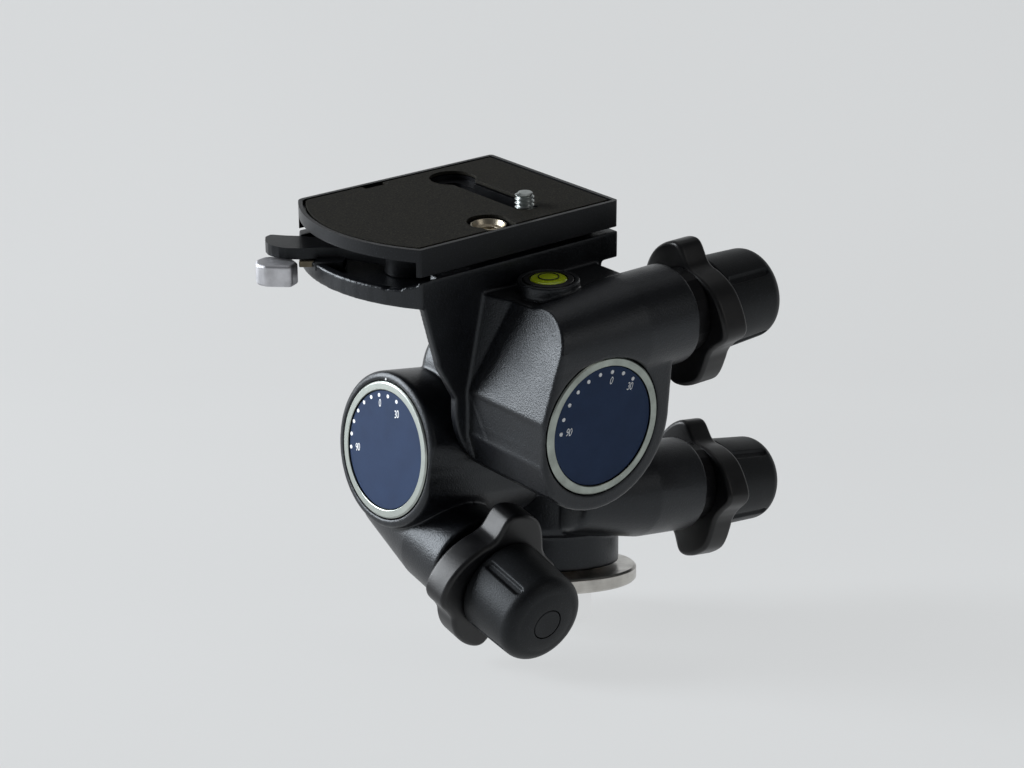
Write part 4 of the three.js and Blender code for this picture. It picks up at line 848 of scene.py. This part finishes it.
def level():
    """Bubble level: domed liquid, its circle and a thin dark ring."""
    (x, y), top = LEVEL_AT, 115.8
    glass = spun("level_glass", [tuple(p) for p in soften(
        [(0, top - 4), (5.7, top - 4), (5.7, top + 0.1), (0, top + 1.0)], [0, 0.2, 0.9, 0], closed=False, steps=8)],
        "z", (x, y), 96)
    crisp(glass, 60)
    settle(glass, "top", "second_tilt", VIAL, ["level_vial"])
    circle = spun("level_circle", [(2.95, top + 0.6), (2.95, top + 0.78), (3.25, top + 0.74), (3.25, top + 0.6),
                                   (2.95, top + 0.6)], "z", (x, y), 64)
    settle(circle, "top", "second_tilt", LEVER_PLASTIC)
    bezel = spun("level_ring", [tuple(p) for p in soften(
        [(5.9, top - 4), (7.6, top - 4), (7.6, top + 0.0), (5.9, top + 0.15)], [0.1, 0.1, 0.4, 0.1])]
        + [(5.9, top - 3.9)], "z", (x, y), 96)
    crisp(bezel, 60)
    settle(bezel, "top", "second_tilt", LEVER_PLASTIC, ["level_bezel"])


def end_outline(inset, steps=72):
    radius = BULGE_R - inset
    swing = math.asin((HALF_W - inset) / radius)
    arc = [(END_X + radius * math.cos(math.pi - swing + 2 * swing * k / steps),
            END_Y + radius * math.sin(math.pi - swing + 2 * swing * k / steps)) for k in range(steps + 1)]
    return [(PLATE["x1"] - inset, PLATE["y0"] + inset), (PLATE["x1"] - inset, PLATE["y1"] - inset)] + arc


def plate_outline(inset, corner):
    """Outline of the plate, its far corner at the curved end rounder than the others."""
    pts = end_outline(inset)
    del pts[3:7]
    return soften(pts, [corner, corner, 3.2] + [0] * (len(pts) - 4) + [corner])


SLOT = {"x": -32.5, "y0": -22.0, "y1": 14.0}


def slot_tool(name, r, eye, start, end):
    left = [(SLOT["x"] + r * math.cos(a), SLOT["y0"] + r * math.sin(a)) for a in np.linspace(math.pi, 2 * math.pi, 24)]
    lift = math.asin(min(1, r / eye))
    right = [(SLOT["x"] + eye * math.cos(a), SLOT["y1"] + eye * math.sin(a))
             for a in np.linspace(-math.pi / 2 + lift, 1.5 * math.pi - lift, 48)]
    return prism(name, left + right, "z", start, end)


def plate():
    top, thick = 130.0, 8.4
    low = top - thick
    slab = prism("upper_plate", plate_outline(0, 1.2), "z", low, top)
    spare = (-51.0, -27.6)
    carved(
        slab,
        prism("t1", plate_outline(1.3, 0.6), "z", top - 1.4, top + 2),
        slot_tool("t2", 3.6, 3.6, low - 1, top + 1),
        slot_tool("t3", 8.8, 8.8, low - 1, top - thick / 2),
        round_bar("t4", "z", 7.4, top - 2.8, top + 1, (SLOT["x"], SLOT["y1"])),
        round_bar("t5", "z", 6.5, top - 4.8, top + 1, spare),
        round_bar("t6", "z", 3.6, low - 1, top, spare),
        prism("t0", soften([(-99, -35.3), (-62, -35.3), (-62, 23.7), (-99, 23.7)], [0, 3, 3, 0]), "z", low - 1,
              top - 3.9),
    )
    bevelled(slab, 0.45, 3, 40)
    crisp(slab, 30)
    foot_x0, foot_x1 = -69 + 8.5 + 0.3, -7 - 5.3
    foot = prism("plate_foot", soften([(foot_x0, -31.2), (foot_x1, -31.2), (foot_x1, 21.3), (foot_x0, 21.3)], 1.5),
                 "z", 114.8, low)
    carved(foot, slot_tool("t7", 8.8, 8.8, 100, 140), round_bar("t8", "z", 3.5, 100, 140, spare))
    bevelled(foot, 0.5, 3, 40)
    crisp(foot, 30)
    joined(slab, foot)
    crisp(slab, 30)
    settle(slab, "top", "plate", SMOOTH_CAST, ["camera_plate"])
    pad = prism("rubber_pad", plate_outline(2.3, 0.5), "z", top - 1.1, top)
    carved(
        pad,
        slot_tool("t9", 4.4, 7.4, top - 3, top + 1),
        round_bar("t10", "z", 6.5, top - 3, top + 1, spare),
        prism("t11", [(-60.5, 22), (-52.5, 22), (-52.5, 26.6), (-60.5, 26.6)], "z", top - 3, top + 1),
        prism("t15", [(-56.2, -36), (-45.6, -36), (-45.6, -31), (-56.2, -31)], "z", top - 3, top + 1),
    )
    bevelled(pad, 0.35, 3, 40)
    crisp(pad, 30)
    settle(pad, "top", "plate", PAD, ["plate_pad"])
    screw(top)
    spare_head(top, spare)


def screw(top):
    """Camera screw: a flat head in the slot and a threaded shank."""
    head_top = top - 4.5
    pitch, length = 1.27, 8.9
    start = head_top - 0.3
    sides, steps = 48, 12
    rows = int(length / pitch * steps)
    points, faces = [], []
    for j in range(rows + 1):
        for k in range(sides):
            a = 2 * math.pi * k / sides
            z = length * j / rows
            phase = (z / pitch - k / sides) % 1.0
            depth = 0.62 * (1 - abs(2 * phase - 1))
            fade = min(1, (length - z) / 0.8)
            r = (3.02 - depth) * (0.78 + 0.22 * fade)
            points.append((SLOT["x"] + r * math.cos(a), SLOT["y0"] + r * math.sin(a), start + z))
    for j in range(rows):
        faces += [(j * sides + k, j * sides + (k + 1) % sides, (j + 1) * sides + (k + 1) % sides, (j + 1) * sides + k)
                  for k in range(sides)]
    faces.append(tuple(range(sides))[::-1])
    faces.append(tuple(rows * sides + k for k in range(sides)))
    shank = outward(made("threaded_shank", points, faces))
    head = round_bar("screw_head", "z", 8.5, head_top - 4, head_top, (SLOT["x"], SLOT["y0"]), 96, (0.4, 0.4))
    joined(head, shank)
    crisp(head, 40)
    settle(head, "top", "mounting_screw", SCREW_STEEL, ["camera_screw"])


def spare_head(top, at):
    """Spare screw parked below the plate's top, with a hollow in its head."""
    head = spun("spare_head", [tuple(p) for p in soften(
        [(0, top - 8.4), (3.3, top - 8.4), (3.3, top - 4.4), (5.5, top - 4.4), (5.5, top - 0.9), (5.0, top - 0.8),
         (4.2, top - 2.3), (2.9, top - 2.5), (2.7, top - 6.0), (0, top - 6.2)],
        [0, 0.3, 0, 0.2, 0.2, 0.15, 0.3, 0.2, 0.2, 0], closed=False)], "z", at, 96)
    crisp(head, 30)
    settle(head, "top", "plate", SPARE_STEEL, ["spare_screw"])


def clamp():
    """Clamp lever with a broad finger pad, and the solid metal catch under it with its short link."""
    low, top = 117.4, 121.0
    outline = soften([(-98.6, 21.8), (-99.5, 19.0), (-99.4, 17.0), (-98.6, 14.3), (-97.3, 12.0), (-94.3, 9.3),
                      (-89.6, 6.4), (-84.3, 2.0), (-76.5, -12.5), (-66.5, -7.0), (-86.0, 16.6), (-87.7, 19.0),
                      (-91.0, 22.3), (-93.9, 25.9), (-96.4, 25.0)], [1.5, 3, 3, 3, 3, 4, 6, 8, 2, 2, 6, 4, 4, 1, 1.5])
    arm = prism("clamp_arm", outline, "z", low, top)
    root = [(-92.9, 3.6), (-86.5, -1.9), (-82.0, 2.5), (-88.5, 8.1)]
    welded(arm, round_bar("clamp_cam", "z", 8.5, 114.8, top, CLAMP_AT),
           prism("clamp_root", soften(root, 0.3), "z", 115.1, low + 0.5))
    carved(arm, round_bar("t13", "z", 3.3, 100, 130, CLAMP_AT), round_bar("t14", "z", 4.9, top - 1.3, 130, CLAMP_AT))
    bevelled(arm, 0.5, 3, 40)
    crisp(arm, 30)
    settle(arm, "top", "clamp", SMOOTH_CAST, ["clamp_lever"])
    outline = soften([(-106.3, 15.6), (-105.2, 12.4), (-99.4, 7.0), (-95.4, 8.8), (-94.6, 13.5), (-99.5, 20.2),
                      (-104.0, 19.2)], [2.8, 2.8, 1.6, 2.0, 3.0, 3.0, 2.6], steps=6)
    catch = prism("catch_block", outline, "z", 110.0, 116.9)
    bevelled(catch, 1.0, 5, 60)
    crisp(catch, 50)
    settle(catch, "top", "catch", ZINC, ["safety_catch"])
    link = soften([(-95.1, 9.0), (-91.3, 6.0), (-89.6, 8.1), (-93.4, 11.1)], 0.4)
    link = prism("catch_link", link, "z", 115.1, 117.2)
    bevelled(link, 0.3, 3, 40)
    crisp(link, 30)
    settle(link, "top", "catch", BRASS)


# ---------------------------------------------------------------- build

base()
pan_casting()
tilt_casting()
head_casting()
for i, d in DRIVES.items():
    lever(i, d)
    knob(i, d)

dial_a_centre = (AXIS_A[1], AXIS_A[2])
dial_b_centre = (AXIS_B[2], AXIS_B[0])
dial("a", "pan", "pan", "x", -75.2, dial_a_centre,
     in_dial((-74.7, AXIS_A[1], AXIS_A[2]), (0, -1, 0), (0, 0, 1)), RING_A,
     [-93.4, -79.0, -64.6, -50.2, -35.8, -21.4, -7.0, 8.3, 23.6],
     [("0", -7.0, 14.4), ("30", 30.2, 13.4), ("90", -93.4, 13.6)], 17.0, (-0.8, 0))
dial("b", "mid", "first_tilt", "y", -73.3, dial_b_centre,
     in_dial((AXIS_B[0], -72.8, AXIS_B[2]), (1, 0, 0), (0, 0, 1)), RING_B,
     [-94.8, -79.2, -63.2, -47.1, -31.0, -15.0, 1.2, 17.2, 33.4],
     [("0", 1.6, 13.74), ("30", 35.7, 14.05), ("90", -94.6, 13.57)], 16.5, (0.4, 0.2))
dot_on("index_a", "mid", "first_tilt", (FACE_A, -6.7, 73.18), (-1, 0, 0))
dot_on("index_b", "top", "second_tilt", (-42.6, FACE_B, 98.84), (0, -1, 0))
level()
plate()
clamp()

PLAIN = {"steel": STEEL, "bronze": BRONZE, "black_casting": CASTING, "black_plastic": LEVER_PLASTIC,
         "dial_blue": NAVY, "satin_ring": RING_A, "brushed_base": BASE_METAL, "bare_zinc": ZINC, "dark_pad": PAD,
         "level_liquid": VIAL, "blackened_steel": BLACKENED}
for part in frame["record"]["subparts"]:
    held = nodes[part["node"]].data.materials
    held.clear()
    held.append(PLAIN[part["material_slot"]])

# ---------------------------------------------------------------- studio


def studio():
    """A pale floor that curves up into a wall, three soft lamps and the camera of the photograph.

    The floor and wall show mostly their own colour to the camera and to reflections, and light nothing by it.
    """
    grey = Look("studio_grey")
    cloud = grey.noise(900.0, detail=2.0)
    colour = grey.mix(grey.span(cloud, 0.0, 1.0, 0.3, 0.7), shade(217, 219, 220), shade(220, 222, 223))
    grey.done(Base_Color=colour, Roughness=0.9)
    path = grey.node("ShaderNodeLightPath")
    seen = path.outputs["Is Camera Ray"]
    for ray in ("Is Glossy Ray", "Is Transmission Ray"):
        either = grey.node("ShaderNodeMath")
        either.operation = "MAXIMUM"
        grey.feed(either.inputs[0], seen)
        grey.feed(either.inputs[1], path.outputs[ray])
        seen = either.outputs[0]
    glow = grey.node("ShaderNodeEmission", Color=colour, Strength=1.0)
    both = grey.node("ShaderNodeMixShader", Fac=grey.span(seen, 0.0, 0.85))
    grey.feed(both.inputs[1], grey.bsdf.outputs[0])
    grey.feed(both.inputs[2], glow.outputs[0])
    grey.feed(grey.tree.nodes["Material Output"].inputs["Surface"], both.outputs[0])
    forward = Vector((0.6395, 0.7688, 0)).normalized()
    right = Vector((forward.y, -forward.x, 0))
    bend, depth, height, wide, floor = 0.9, 1.6, 1.5, 5.0, -0.0125
    profile = [(-3.0, floor), (depth - bend, floor)]
    profile += [(depth - bend + bend * math.sin(t), floor + bend * (1 - math.cos(t)))
                for t in np.linspace(0, math.pi / 2, 24)]
    profile.append((depth, height))
    points = [tuple(forward * a + right * s + Vector((0, 0, b))) for a, b in profile for s in (-wide, wide)]
    faces = [(2 * k, 2 * k + 1, 2 * k + 3, 2 * k + 2) for k in range(len(profile) - 1)]
    cove = made("cove", points, faces)
    soft(cove)
    cove.data.materials.append(grey.mat)
    rows = soften([(0, floor / MM), (15, floor / MM), (15, -0.05), (0, -0.05)], [0, 0.5, 0.8, 0], closed=False)
    plinth = spun("plinth", [tuple(p) for p in rows], "z", sides=128)
    crisp(plinth)
    plinth.data.transform(Matrix.Scale(MM, 4))
    plinth.data.materials.append(grey.mat)
    aim = Vector((-0.03, -0.03, 0.07))

    def lamp(name, away, side, up, size, power, tint):
        light = bpy.data.lights.new(name, "AREA")
        light.shape = "RECTANGLE"
        light.size, light.size_y = size
        light.energy = power
        light.color = tint
        obj = bpy.data.objects.new(name, light)
        bpy.context.scene.collection.objects.link(obj)
        obj.location = aim - forward * away + right * side + Vector((0, 0, up))
        obj.rotation_euler = (aim - obj.location).to_track_quat("-Z", "Y").to_euler()

    lamp("window", -0.15, -1.27, 0.5, (0.9, 0.9), 31, (0.92, 0.96, 1.0))
    lamp("overhead", -0.3, 0.1, 2.0, (1.6, 1.6), 3.5, (1.0, 1.0, 1.0))
    lamp("fill", 0.9, 1.3, 0.6, (0.8, 0.8), 2.0, (1.0, 0.98, 0.95))
    world = bpy.data.worlds.new("room")
    bpy.context.scene.world = world
    world.use_nodes = True
    world.node_tree.nodes["Background"].inputs["Color"].default_value = (0.9, 0.92, 0.95, 1)
    world.node_tree.nodes["Background"].inputs["Strength"].default_value = 0.09

    turn, pitch = math.radians(VIEW["turn"]), math.radians(VIEW["pitch"])
    target = Vector((VIEW["across"] * math.cos(turn), VIEW["across"] * math.sin(turn), VIEW["height"])) * MM
    look = Vector((-math.sin(turn) * math.cos(pitch), math.cos(turn) * math.cos(pitch), -math.sin(pitch)))
    camera = bpy.data.cameras.new("camera")
    camera.sensor_width = 36
    camera.lens = camera.sensor_width * VIEW["focal"] / PHOTO_WIDTH
    camera.clip_start = 0.05
    obj = bpy.data.objects.new("camera", camera)
    bpy.context.scene.collection.objects.link(obj)
    obj.location = target - look * VIEW["distance"] * MM
    obj.rotation_euler = look.to_track_quat("-Z", "Y").to_euler()
    bpy.context.scene.camera = obj
    bpy.context.scene.view_settings.view_transform = "Standard"


studio()
